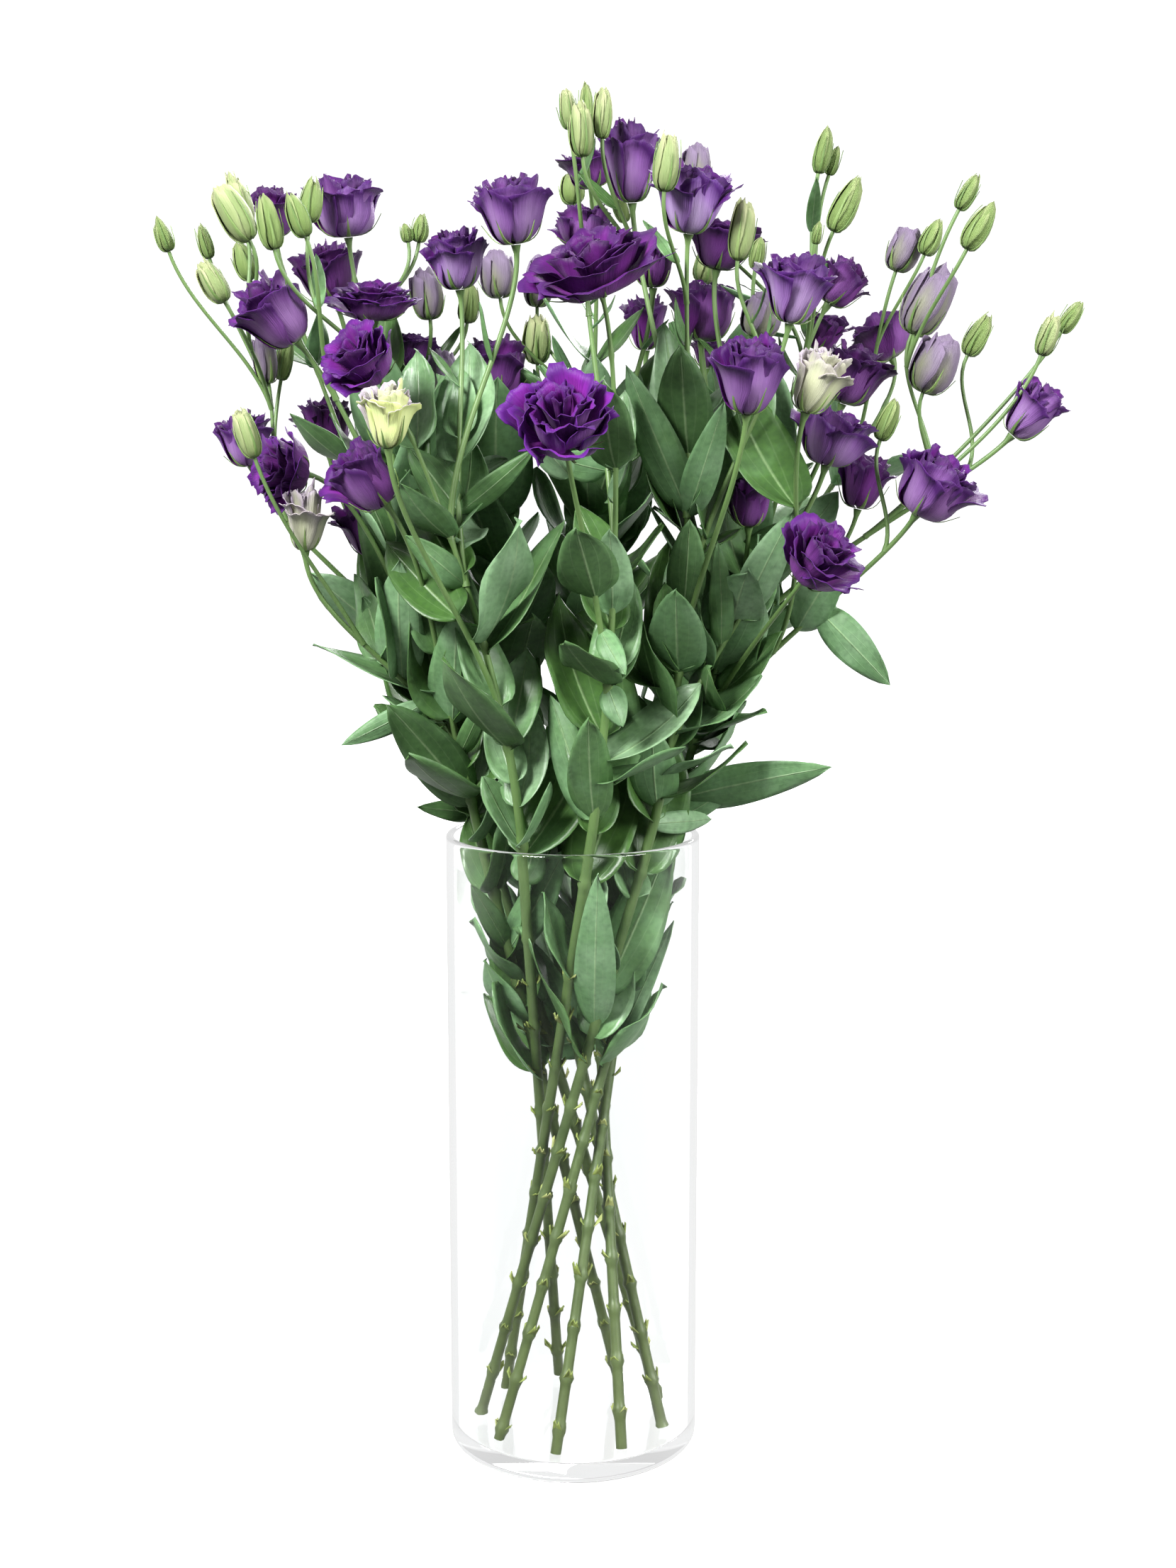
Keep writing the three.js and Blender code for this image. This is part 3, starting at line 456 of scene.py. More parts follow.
stems = []
for k, leader in enumerate(LEADERS):
    head = next(bloom for bloom in blooms if bloom["name"] == leader)
    turn = math.radians(FOOT_TURN + 360 / len(LEADERS) * k)
    top_turn = turn + math.radians(CROSSING_TURN)
    foot = np.array((FOOT_RADIUS * math.cos(turn), FOOT_RADIUS * math.sin(turn), FOOT_Z))
    rim = np.array((FOOT_RADIUS * math.cos(top_turn), FOOT_RADIUS * math.sin(top_turn), RIM_Z))
    stalk = stalk_points(reach_to(head, rim, unit(rim - foot)), head, FORK_RADIUS)
    stalk["points"] = [foot + (rim - foot) * share for share in QUARTERS] + stalk["points"]
    above = [STEM_RADIUS * RIM_TAPER, STEM_RADIUS * CROWN_TAPER, FORK_RADIUS]
    stalk["radii"] = [STEM_RADIUS] * len(QUARTERS) + above + stalk["radii"][len(above):]
    stalk["bare"] = len(stalk["points"]) - 2
    stem = {"name": f"stem_{k + 1}", "number": k, "foot": foot, "rim": rim,
            "stalks": [], "leaves": [], "buds": [], "first_pair": PAIR_STEP * (k * PAIR_STAGGER % 1)}
    add_stalk(stem, stalk)
    stems.append(stem)


def places_for(head):
    """Places on the stalks of all stems where a branch to a head may leave, the nearest first."""
    least = (head["base"][2] - CROSSING_Z) * BLOOM_REACH if head["is_bloom"] else BUD_REACH
    places = []
    for stem in stems:
        for stalk in stem["stalks"]:
            for i in range(1, stalk["bare"]):
                here, ahead = stalk["points"][i], stalk["points"][i + 1]
                for share in FORK_SHARES:
                    start = here + (ahead - here) * share
                    rise = head["base"][2] - start[2]
                    run = math.hypot(head["base"][0] - start[0], head["base"][1] - start[1])
                    if start[2] < LOWEST_FORK or rise < least or rise < run * STEEPEST_RUN:
                        continue
                    places.append((rise + run * RUN_COST, len(places), stem, start,
                                   unit(ahead - here), stalk["radii"][i]))
    return sorted(places, key=lambda place: place[:2])


def walk(corners):
    """Points every few millimetres along straight pieces."""
    points = []
    for here, ahead in zip(corners, corners[1:]):
        steps = math.ceil(math.sqrt(float((ahead - here) @ (ahead - here))) / WALK_STEP)
        points += [here + (ahead - here) * ((k + 1) / steps) for k in range(steps)]
    return np.array(points)


def branch_to(head, own):
    """The clear branch that reaches a head from the nearest place, with its stem, or None."""
    body = np.array([head["base"] + head["axis"] * head["length"] * share for share in (0, 0.5, 1)])
    for _, _, stem, start, along, radius in places_for(head):
        controls = reach_to(head, start, unit(along + unit(head["base"] - start)))
        stalk = stalk_points(controls, head, min(radius * BRANCH_START, head["stalk"] * BRANCH_SWELL))
        if path_is_clear(walk(stalk["points"]), head["stalk"], stem, own):
            if head["is_bloom"] or path_is_clear(body, head["width"] * 0.5, stem, own):
                return stem, stalk
    return None


for own, bloom in enumerate(blooms):
    if bloom["name"] not in LEADERS:
        add_stalk(*branch_to(bloom, own))
for x, z, tip_x, tip_z, width, depth, kind in BUDS:
    for shift in BUD_SHIFTS:
        away = depth + shift
        bud = new_head("bud", seen(x, z, away), seen(tip_x, tip_z, away), width * reach_at(away),
                       BUD_STALK_RADIUS, kind)
        found = branch_to(bud, None)
        if found:
            add_stalk(*found)
            found[0]["buds"].append(bud)
            break

# The stalks are smooth green rods, olive and thick low in the vase, thinner and fresher above, with
# a swollen joint wherever leaves sit or were torn off. Each stem's rods are drawn as curves, which
# get their thickness and are made one mesh.
JOINT_SWELL = 0.42
JOINT_REACH = 2.3
MAIN_STEP = 3.0
SIDE_STEP = 4.5
TAPER_SHARE = 0.8
TAPER_CURVE = 1.3
SNAP_REACH = 70.0
SIDE_FULLNESS = 1.12
FORK_SWELL = 0.35
FORK_SWELL_REACH = 4
RECEPTACLE_REACH = 3.2


def pick(piece):
    """Makes a piece the only selected and the active one."""
    bpy.ops.object.select_all(action="DESELECT")
    piece.select_set(True)
    bpy.context.view_layer.objects.active = piece


def smooth_rod(stem, stalk):
    """Fine points and radii of a stalk, with its joints and its receptacle."""
    span = on_curve(stalk["controls"], [0])[1]
    is_main = stalk is stem["stalks"][0]
    count = max(8, int(span / (MAIN_STEP if is_main else SIDE_STEP)))
    points, _ = on_curve(stalk["controls"], np.linspace(0, 1, count))
    reached = np.linspace(0, span, count)
    start_radius = stalk["radii"][len(QUARTERS) if is_main else 0]
    end_radius = stalk["head"]["stalk"]
    taper = (1 - np.minimum(1, reached / (TAPER_SHARE * span))) ** TAPER_CURVE
    radii = end_radius + (start_radius - end_radius) * taper
    if is_main:
        low_count = int((RIM_Z - FOOT_Z) / MAIN_STEP)
        shares = np.linspace(0, 1, low_count, endpoint=False)[:, None]
        points = np.concatenate((stem["foot"] + (stem["rim"] - stem["foot"]) * shares, points))
        radii = np.concatenate((STEM_RADIUS + (start_radius - STEM_RADIUS) * shares[:, 0], radii))
        steps = np.sqrt((np.diff(points, axis=0) ** 2).sum(1))
        reached = np.concatenate(([0], np.cumsum(steps)))
        spacing = np.where(points[:, 2] < LOWEST_FORK, PAIR_STEP / 2, PAIR_STEP)
        offset = (reached - stem["first_pair"]) % spacing
        offset = np.minimum(offset, spacing - offset)
        radii = radii * (1 + JOINT_SWELL * np.exp(-(offset / JOINT_REACH) ** 2))
    else:
        off = np.sqrt(((stem["rods"] - points[0]) ** 2).sum(1))
        snap = stem["rods"][off.argmin()] - points[0]
        points = points + np.outer(np.maximum(0, 1 - reached / min(SNAP_REACH, span)) ** 2, snap)
        radii = SIDE_FULLNESS * radii * (1 + FORK_SWELL * np.exp(-(reached / FORK_SWELL_REACH) ** 2))
    if stalk["head"]["is_bloom"]:
        rest = reached[-1] - reached
        radii = radii + (RECEPTACLE_RADIUS - end_radius) * np.exp(-(rest / RECEPTACLE_REACH) ** 2)
    return points, radii


def add_mix(tree, share, first, second):
    """Two colours mixed by a share, each given as a socket, a number or a #rrggbb code."""
    mix = tree.nodes.new("ShaderNodeMix")
    mix.data_type = "RGBA"
    for socket, value in ((mix.inputs[0], share), (mix.inputs[6], first), (mix.inputs[7], second)):
        if isinstance(value, str):
            socket.default_value = colour(value)
        elif isinstance(value, (int, float)):
            socket.default_value = value
        else:
            tree.links.new(value, socket)
    return mix.outputs[2]


def add_bump(tree, shader, height, distance):
    """Relief that is too fine for the mesh."""
    bump = tree.nodes.new("ShaderNodeBump")
    bump.inputs["Distance"].default_value = distance
    tree.links.new(height, bump.inputs["Height"])
    tree.links.new(bump.outputs["Normal"], shader.inputs["Normal"])


stem_green, tree, shader, place = new_finish("stem green", 0.45)
split = tree.nodes.new("ShaderNodeSeparateXYZ")
tree.links.new(place, split.inputs["Vector"])
fresh = add_ramp(tree, multiply(tree, split.outputs["Z"], 1.25),
                 [(0.03, "#333d10"), (0.3, "#2c411a"), (0.55, "#567a40"), (0.95, "#638549")])
streaks = add_noise(tree, place, 900.0, 4.0, (1, 1, 0.02))
blotches = add_noise(tree, place, 60.0, 3.0)
shaded = add_mix(tree, multiply(tree, streaks, 0.5), fresh, "#24381d")
shaded = add_mix(tree, multiply(tree, blotches, 0.3), shaded, "#8ea468")
tree.links.new(shaded, shader.inputs["Base Color"])
add_bump(tree, shader, streaks, 0.12 * MM)

for stem in stems:
    curve = bpy.data.curves.new(f"stalks_{stem['name']}", "CURVE")
    curve.dimensions = "3D"
    curve.bevel_depth = 1.0
    curve.bevel_resolution = 2
    curve.use_fill_caps = True
    stem["rods"] = np.empty((0, 3))
    for stalk in stem["stalks"]:
        points, radii = smooth_rod(stem, stalk)
        stem["rods"] = np.concatenate((stem["rods"], points))
        spline = curve.splines.new("POLY")
        spline.points.add(len(points) - 1)
        spline.points.foreach_set("co", np.c_[points * MM, np.ones(len(points))].ravel())
        spline.points.foreach_set("radius", radii * MM)
    rods = bpy.data.objects.new(curve.name, curve)
    bpy.context.collection.objects.link(rods)
    pick(rods)
    bpy.ops.object.convert(target="MESH")
    rods = bpy.context.object
    for vertex in rods.data.vertices:
        vertex.co.z = max(vertex.co.z, FOOT_Z * MM)
    bpy.ops.object.shade_smooth_by_angle(angle=math.radians(50))
    rods.data.materials.clear()
    rods.data.materials.append(stem_green)
    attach(rods, "root")
    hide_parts(stem["name"])

# The leaves sit in opposite pairs with no stalk of their own, their broad base clasping the stem:
# oval, pointed, grey-green with a waxy bloom, a pale rib and a gently waved edge. A flat grid is
# bent into each blade, and Solidify gives the blades their thickness.
LEAF_MARGIN = 3.4
LEAF_REACH = 0.65
SAMPLE_ROWS = 10
SAMPLE_SIDES = (-1, -0.5, 0, 0.5, 1)
ROOT_SAMPLES = 3 * len(SAMPLE_SIDES)
OUTER_LIMIT = 79.0
FRONT_LEANS = (0.3, 0.15, 0.45, 0, 0.65, -0.2, 0.9, -0.45)
FRONT_SIZES = (1, 0.85, 0.7, 0.55)
SHORTEST_SHARE = 0.4
FRONT_BOW = 0.06
FRONT_PLANE = -60
BEHIND_COST = 0.25
FIRST_PAIR_Z = 285
PAIR_LENGTHS = (98, 54)
PAIR_WIDTHS = (48, 23)
LEAF_RISE = 58
RULE_TURNS = (0, 16, -16, 32, -32, 48, -48)
RULE_TILTS = (0, 14, -18)
RULE_SIZES = (1, 0.8, 0.6)
RULE_BOW = 0.08
SEED = 20261
BLADE = 0.5 * MM

piece_start = np.array([piece[0] for piece in pieces])
piece_run = np.array([piece[1] for piece in pieces]) - piece_start
piece_thick = np.array([piece[2] for piece in pieces])
piece_stem = np.array([piece[3]["number"] for piece in pieces])

# Broad leaves that show in front, then those behind the glass: x and z of the base and of the tip,
# and width.
FRONT_LEAVES = [
    (-93, 460, -104, 552, 40), (-62, 517, -100, 555, 20), (-40, 560, -94, 601, 21),
    (-39, 560, -20, 598, 14), (-63, 440, -68, 508, 30), (-71, 385, -108, 458, 30),
    (-100, 440, -135, 425, 14), (-12, 505, 2, 557, 34), (-16, 573, -29, 612, 17),
    (14, 576, -11, 595, 18), (47, 561, 30, 645, 24), (57, 560, 89, 628, 20),
    (42, 505, 25, 556, 24), (45, 508, 70, 560, 22), (92, 490, 87, 570, 26),
    (100, 500, 125, 564, 22), (138, 490, 156, 540, 24), (148, 500, 188, 465, 22),
    (79, 394, 152, 418, 24), (-5, 496, 31, 467, 14), (27, 470, 30, 437, 16),
    (12, 386, 5, 449, 26), (-5, 387, -15, 456, 24), (60, 384, 45, 437, 28),
    (-60, 420, -42, 468, 22), (-42, 310, 2, 366, 22), (6, 265, 13, 362, 28),
    (27, 270, 59, 366, 34), (31, 243, 63, 331, 14), (-46, 294, -62, 350, 16),
    (-40, 338, -22, 368, 20),
]
leaves = []
draw_state = SEED


def between(low, high):
    """The next of a fixed row of random numbers."""
    global draw_state
    draw_state = (draw_state * 48271) % 2147483647
    return low + (high - low) * draw_state / 2147483647


def make_leaf(base, tip, width, sideways, bow):
    """A leaf's straight chord, the side and outer directions of its blade, and its bow."""
    chord = tip - base
    length = math.sqrt(float(chord @ chord))
    along = chord / length
    side = unit(sideways - along * float(sideways @ along))
    return {"base": base, "along": along, "side": side, "over": np.cross(side, along),
            "length": length, "width": width, "bow": bow}


def half_width(width, share):
    """Half the width of the room that a blade is given, at a share of its length."""
    t = np.clip(share, 0, 1)
    return width * (0.2 + 0.3 * np.sin(np.pi * t ** 0.75)) * np.minimum(1, (1 - t) * 3)


sample_shares = np.repeat(np.arange(1, SAMPLE_ROWS + 1) / SAMPLE_ROWS, len(SAMPLE_SIDES))
sample_across = np.tile(SAMPLE_SIDES, SAMPLE_ROWS)


def leaf_points(leaf, shares, across):
    bow = leaf["bow"] * leaf["length"] * 4 * shares * (1 - shares)
    return (leaf["base"] + np.outer(leaf["length"] * shares, leaf["along"])
            + np.outer(half_width(leaf["width"], shares) * across, leaf["side"])
            + np.outer(bow, leaf["over"]))


def in_leaves(points, chosen, margin):
    """For each point and each leaf, whether the point is within a margin of the blade."""
    offset = points[:, None, :] - np.array([leaf["base"] for leaf in chosen])[None]
    lengths = np.array([leaf["length"] for leaf in chosen])
    share = np.einsum("nli,li->nl", offset, np.array([leaf["along"] for leaf in chosen])) / lengths
    sides = np.abs(np.einsum("nli,li->nl", offset, np.array([leaf["side"] for leaf in chosen])))
    over = np.einsum("nli,li->nl", offset, np.array([leaf["over"] for leaf in chosen]))
    bows = np.array([leaf["bow"] for leaf in chosen]) * lengths * 4 * share * (1 - share)
    widths = half_width(np.array([leaf["width"] for leaf in chosen])[None], share)
    return ((share >= -margin / lengths) & (share <= 1 + margin / lengths)
            & (sides <= widths + margin) & (np.abs(over - bows) < margin))


def near_stalks(points, radius, chosen):
    """Which points are within a radius of one of the chosen stalks and buds."""
    offset = points[:, None, :] - piece_start[chosen][None]
    run = piece_run[chosen]
    share = np.clip((offset * run).sum(2) / (run ** 2).sum(1), 0, 1)
    away = offset - share[:, :, None] * run[None]
    return (np.sqrt((away ** 2).sum(2)) <= piece_thick[chosen] + radius).any(1)


def leaf_is_clear(leaf, stem, margin):
    """True if a leaf keeps clear of all but the pieces of its own stem near its root."""
    points = leaf_points(leaf, sample_shares, sample_across)
    leaf["samples"] = points
    if barred(points, OUTER_LIMIT).any() or in_blooms(points, margin).any():
        return False
    leaf["middle"] = leaf["base"] + leaf["along"] * leaf["length"] / 2
    piece_middle = piece_start + piece_run / 2
    reach = 0.5 * np.sqrt((piece_run ** 2).sum(1)) + piece_thick + LEAF_REACH * leaf["length"] + margin
    close = ((piece_middle - leaf["middle"]) ** 2).sum(1) < reach ** 2
    if near_stalks(points[ROOT_SAMPLES:], margin, close).any():
        return False
    if near_stalks(points[:ROOT_SAMPLES], margin, close & (piece_stem != stem["number"])).any():
        return False
    near = [other for other in leaves if math.dist(other["middle"], leaf["middle"])
            < LEAF_REACH * (other["length"] + leaf["length"]) + 2 * margin]
    if not near:
        return True
    own = np.array([other["stem"] is stem for other in near])
    hits = in_leaves(points, near, margin)
    hits[:ROOT_SAMPLES, own] = False
    if hits.any():
        return False
    samples = np.concatenate([other["samples"] for other in near])
    back = in_leaves(samples, [leaf], margin)[:, 0].reshape(len(near), -1)
    back[own, :ROOT_SAMPLES] = False
    return not back.any()


def grow_leaf(stem, choices, margin=LEAF_MARGIN):
    """Adds the first of several leaves that is clear, or none."""
    for leaf in choices:
        if leaf_is_clear(leaf, stem, margin):
            leaf["stem"] = stem
            leaves.append(leaf)
            stem["leaves"].append(leaf)
            return True
    return False


def nearest_stalk(x, z):
    """The stem and the place on it that are seen nearest a point, those in front first."""
    best = (math.inf, None, None)
    for stem in stems:
        for stalk in stem["stalks"]:
            for i in range(stalk["bare"]):
                for share in QUARTERS:
                    point = stalk["points"][i] + (stalk["points"][i + 1] - stalk["points"][i]) * share
                    off = point - seen(x, z, point[1])
                    behind = max(0, point[1] - FRONT_PLANE) * BEHIND_COST
                    score = math.sqrt(float(off @ off)) + behind
                    if score < best[0]:
                        best = (score, stem, point)
    return best[1:]


for x, z, tip_x, tip_z, width in FRONT_LEAVES:
    stem, point = nearest_stalk(x, z)
    to_eye = unit(EYE - point)
    span = math.hypot(tip_x - x, tip_z - z)
    choices = []
    for lean in FRONT_LEANS:
        for size in FRONT_SIZES:
            tip = seen(tip_x, tip_z, point[1] - lean * span)
            end = point + (tip - point) * (SHORTEST_SHARE + (1 - SHORTEST_SHARE) * size)
            choices.append(make_leaf(point, end, width * reach_at(point[1]) * size,
                                     unit(np.cross(end - point, to_eye)), FRONT_BOW))
    grow_leaf(stem, choices)


def square_to(axis):
    """Two directions square to an axis and to each other."""
    helper = np.array((0.0, 0.0, 1.0)) if abs(axis[2]) < 0.9 else np.array((1.0, 0.0, 0.0))
    side = unit(np.cross(helper, axis))
    return side, np.cross(axis, side)


def rule_leaves(start, along, bearing, length, width, rise=LEAF_RISE):
    """A leaf that leaves a stalk at a bearing, with turned, tilted and smaller ones to choose from."""
    side, other = square_to(along)
    choices = []
    for turned in RULE_TURNS:
        for tilted in RULE_TILTS:
            angle = bearing + math.radians(turned)
            outward = side * math.cos(angle) + other * math.sin(angle)
            steep = math.radians(rise + tilted)
            direction = along * math.sin(steep) + outward * math.cos(steep)
            for size in RULE_SIZES:
                choices.append(make_leaf(start, start + direction * length * size, width * size,
                                         np.cross(along, outward), RULE_BOW))
    return choices


def place_on(points, distance):
    """The place at some distance along the straight pieces between points, and the direction."""
    rest = distance
    i = 0
    while i + 2 < len(points) and rest > math.dist(points[i], points[i + 1]):
        rest -= math.dist(points[i], points[i + 1])
        i += 1
    along = unit(points[i + 1] - points[i])
    return points[i] + along * rest, along


def lerp(ends, share):
    return ends[0] + (ends[1] - ends[0]) * share


for stem in stems:
    bearing = between(0, math.pi)
    stalk = stem["stalks"][0]
    top = stalk["points"][stalk["bare"]][2]
    reach = stem["first_pair"]
    start, along = place_on(stalk["points"], reach)
    while start[2] <= top - PAIR_STEP:
        if start[2] >= FIRST_PAIR_Z:
            share = (start[2] - FIRST_PAIR_Z) / (top - FIRST_PAIR_Z)
            for half in (0, math.pi):
                size = between(0.85, 1.15)
                grow_leaf(stem, rule_leaves(start, along, bearing + half, lerp(PAIR_LENGTHS, share) * size,
                                            lerp(PAIR_WIDTHS, share) * size))
            bearing += math.pi / 2
        reach += PAIR_STEP
        start, along = place_on(stalk["points"], reach)

# Between those grow more leaves than can be told apart, wherever there is room for one inside the
# outline of the bunch, and narrow bracts higher up.
CLOSE_MARGIN = 0.8
EXTRA_STEP = 15
LONGEST_STALK = 2000
LOWEST_EXTRA = 225
BARE_TOP = 26
EXTRA_LOW_Z, EXTRA_Z_SPAN = 280, 330
EXTRA_SIZES = (0.75, 1.15)
EXTRA_LENGTHS = (104, 78)
EXTRA_WIDTHS = (50, 36)
EXTRA_RISES = (52, 82)
BRACTS_Z = 605
BRACT_SHARE = 0.35
BRACT_LENGTH, BRACT_WIDTH, BRACT_RISE = 34, 7, 56
BACK_ROOM = 0.5
CELL = 7
CELLS_LOW, CELLS_HIGH, CELLS_ASIDE = 250, 640, 20
FILL_NEAREST, FILL_FURTHEST = 16, 62
FILL_PLACES = 24
FILL_DEPTHS = (0, 20, -20, 40)
FILL_STRETCH = 1.6
FILL_WIDTHS = (30, 20, 13)
FILL_SHORTEST, FILL_LONGEST = 30, 110
random = np.random.default_rng(41)


def outline_radius(height):
    """How far from the vase's axis the foliage reaches at a height."""
    return np.interp(height, (360, 385, 440, 530, 580, 640, 700), (62, 92, 116, 130, 118, 112, 150))


def leaf_kept_in(leaf):
    tip = leaf["base"] + leaf["along"] * leaf["length"]
    widest = outline_radius(tip[2])
    return math.hypot(tip[0], tip[1]) < widest and tip[1] > -BACK_ROOM * widest


# The front view of the foliage in small cells. Leaves are chosen for the open ones that they cover.
open_cells = {(i, k) for k in range(CELLS_LOW // CELL, CELLS_HIGH // CELL)
              for i in range(-CELLS_ASIDE, CELLS_ASIDE + 1)
              if abs(i * CELL) < np.interp(k * CELL, (250, 300, 350, 385, 440, 530, 580, 640),
                                           (24, 50, 66, 84, 106, 122, 108, 60))}


def as_seen(points):
    """Where points are seen on the plane through the vase's axis, across and up."""
    nearer = -EYE[1] / (points[:, 1] - EYE[1])
    return EYE[[0, 2]] + (points[:, [0, 2]] - EYE[[0, 2]]) * nearer[:, None]


def cells_of(leaf):
    """The cells of the front view that a leaf covers."""
    x, z = as_seen(leaf_points(leaf, sample_shares, sample_across)).T
    return set(zip(np.round(x / CELL).astype(int).tolist(), (z / CELL).astype(int).tolist()))


for leaf in leaves:
    open_cells -= cells_of(leaf)

extra_places = []
for stem in stems:
    for stalk in stem["stalks"]:
        for distance in np.arange(random.uniform(0, EXTRA_STEP), LONGEST_STALK, EXTRA_STEP):
            start, along = place_on(stalk["points"][:stalk["bare"] + 1], distance)
            if start[2] > stalk["points"][stalk["bare"]][2] - BARE_TOP:
                break
            if start[2] > LOWEST_EXTRA:
                extra_places.append((stem, start, along))
for index in random.permutation(len(extra_places)):
    stem, start, along = extra_places[index]
    size = random.uniform(*EXTRA_SIZES)
    bearing = random.uniform(0, math.tau)
    if start[2] < BRACTS_Z:
        share = (start[2] - EXTRA_LOW_Z) / EXTRA_Z_SPAN
        length, width = lerp(EXTRA_LENGTHS, share) * size, lerp(EXTRA_WIDTHS, share) * size
        rise = random.uniform(*EXTRA_RISES)
    elif random.uniform() < BRACT_SHARE:
        length, width, rise = BRACT_LENGTH * size, BRACT_WIDTH * size, BRACT_RISE
    else:
        continue
    choices = rule_leaves(start, along, bearing, length, width, rise)
    choices = [leaf for leaf in choices if leaf_kept_in(leaf)]
    choices.sort(key=lambda leaf: -len(open_cells & cells_of(leaf)))
    if grow_leaf(stem, choices, CLOSE_MARGIN):
        open_cells -= cells_of(leaves[-1])

# Cells that are open still get a leaf from the rearmost stalks that pass close below them.
starts = np.array([place[1] for place in extra_places])
starts_seen = as_seen(starts)
for cell in sorted(open_cells):
    middle = np.array((cell[0] * CELL, (cell[1] + 0.5) * CELL))
    off = middle - starts_seen
    span = np.hypot(off[:, 0], off[:, 1])
    near = np.flatnonzero((span > FILL_NEAREST) & (span < FILL_FURTHEST) & (off[:, 1] > 0))
    for index in near[np.argsort(-starts[near, 1])][:FILL_PLACES]:
        if cell not in open_cells:
            break
        stem, start = extra_places[index][:2]
        choices = []
        for depth in FILL_DEPTHS:
            end = start + (seen(middle[0], middle[1], start[1] + depth) - start) * FILL_STRETCH
            for width in FILL_WIDTHS:
                leaf = make_leaf(start, end, width, unit(np.cross(end - start, EYE - start)), RULE_BOW)
                if FILL_SHORTEST < leaf["length"] < FILL_LONGEST and leaf_kept_in(leaf):
                    choices.append(leaf)
        choices.sort(key=lambda leaf: -len(open_cells & cells_of(leaf)))
        if grow_leaf(stem, choices, CLOSE_MARGIN):
            open_cells -= cells_of(leaves[-1])

# Every blade is one flat grid that is bent into shape. Those that lean on the wall of the vase are
# pressed flat against it, and those that hang outside it stay as they are.
WALL_ROOM = 69.6
RIM_OPENING = 4.0
LEAF_FULLNESS = 1.18
LEAF_SHOULDER = 0.46
LEAF_TIP = 0.78


def flat_grid(columns, rows):
    """A flat grid as its places across, from -1 to 1, and along, from 0 to 1, and its faces."""
    bpy.ops.object.select_all(action="DESELECT")
    bpy.ops.mesh.primitive_grid_add(x_subdivisions=columns, y_subdivisions=rows, size=2)
    sheet = bpy.context.object
    places = np.empty(len(sheet.data.vertices) * 3)
    sheet.data.vertices.foreach_get("co", places)
    places = places.reshape(-1, 3)
    faces = np.array([face.vertices[:] for face in sheet.data.polygons])
    bpy.data.meshes.remove(sheet.data)
    return {"across": places[:, 0], "along": (places[:, 1] + 1) / 2, "faces": faces}


def build_sheets(name, sheets, thickness, finishes):
    """One mesh of many bent grids, given as grid, points, tone, shade and number of their finish.

    Each finish is a pair, for the outer and the inner face.
    """
    starts = np.cumsum([0] + [len(sheet[1]) for sheet in sheets])
    mesh = bpy.data.meshes.new(name)
    faces = np.concatenate([grid["faces"] + start for (grid, *_), start in zip(sheets, starts)])
    mesh.from_pydata((np.concatenate([sheet[1] for sheet in sheets]) * MM).tolist(), [], faces.tolist())
    flat = np.concatenate([np.c_[(grid["across"] + 1) / 2, grid["along"]] for grid, *_ in sheets])
    corners = np.empty(len(mesh.loops), int)
    mesh.loops.foreach_get("vertex_index", corners)
    mesh.uv_layers.new(name="blade").data.foreach_set("uv", flat[corners].ravel())
    for attribute, column in (("tone", 2), ("shade", 3)):
        values = np.concatenate([np.full(len(sheet[1]), sheet[column], float) for sheet in sheets])
        mesh.attributes.new(attribute, "FLOAT", "POINT").data.foreach_set("value", values)
    for pair in finishes:
        for finish in pair:
            mesh.materials.append(finish)
    slots = np.concatenate([np.full(len(sheet[0]["faces"]), 2 * sheet[4]) for sheet in sheets])
    mesh.polygons.foreach_set("material_index", slots.astype(np.int32))
    mesh.shade_smooth()
    piece = bpy.data.objects.new(name, mesh)
    bpy.context.collection.objects.link(piece)
    pick(piece)
    wall = piece.modifiers.new("wall", "SOLIDIFY")
    wall.thickness = thickness
    wall.offset = -1
    wall.material_offset = 1
    wall.material_offset_rim = 1
    bpy.ops.object.modifier_apply(modifier="wall")
    return piece


def kept_off_wall(points):
    """The points of a blade, pressed inwards where they would cut into the wall of the vase."""
    radius = np.hypot(points[:, 0], points[:, 1])
    if ((points[:, 2] < RIM_Z) & (radius > OUTER_LIMIT)).any():
        return points
    limit = WALL_ROOM + RIM_OPENING * np.maximum(points[:, 2] - RIM_Z, 0)
    return points * np.c_[np.repeat(np.minimum(1, limit / radius)[:, None], 2, 1), np.ones(len(points))]


def bend_leaf(leaf, grid):
    """The blade of a leaf: clasping at its base, folded along its rib, waved, its tip bent back."""
    u = grid["across"]
    t = grid["along"] ** 1.35
    outline = LEAF_FULLNESS * leaf["width"] * t ** LEAF_SHOULDER * (1 - t) ** LEAF_TIP
    clasp = random.uniform(0.1, 0.26) + 0.5 * np.exp(-t / 0.1)
    wave = random.uniform(0.03, 0.11) * leaf["width"] * u ** 3 * np.sin(
        t * random.uniform(5, 11) + random.uniform(0, math.tau))
    lift = (leaf["bow"] * leaf["length"] * 4 * t * (1 - t) - clasp * outline * np.abs(u) ** 1.3 + wave
            + random.uniform(-0.05, 0.18) * leaf["length"] * t ** 3)
    sway = random.uniform(-0.06, 0.06) * leaf["length"] * t ** 2
    turn = random.uniform(-0.6, 0.6) * t
    off = leaf["stem"]["rods"] - leaf["base"]
    snap = off[(off ** 2).sum(1).argmin()]
    across = outline * u * np.cos(turn) + sway
    points = (leaf["base"] + np.outer((1 - t) ** 2, snap) + np.outer(leaf["length"] * t, leaf["along"])
              + np.outer(across, leaf["side"]) + np.outer(lift + outline * u * np.sin(turn), leaf["over"]))
    return kept_off_wall(points)


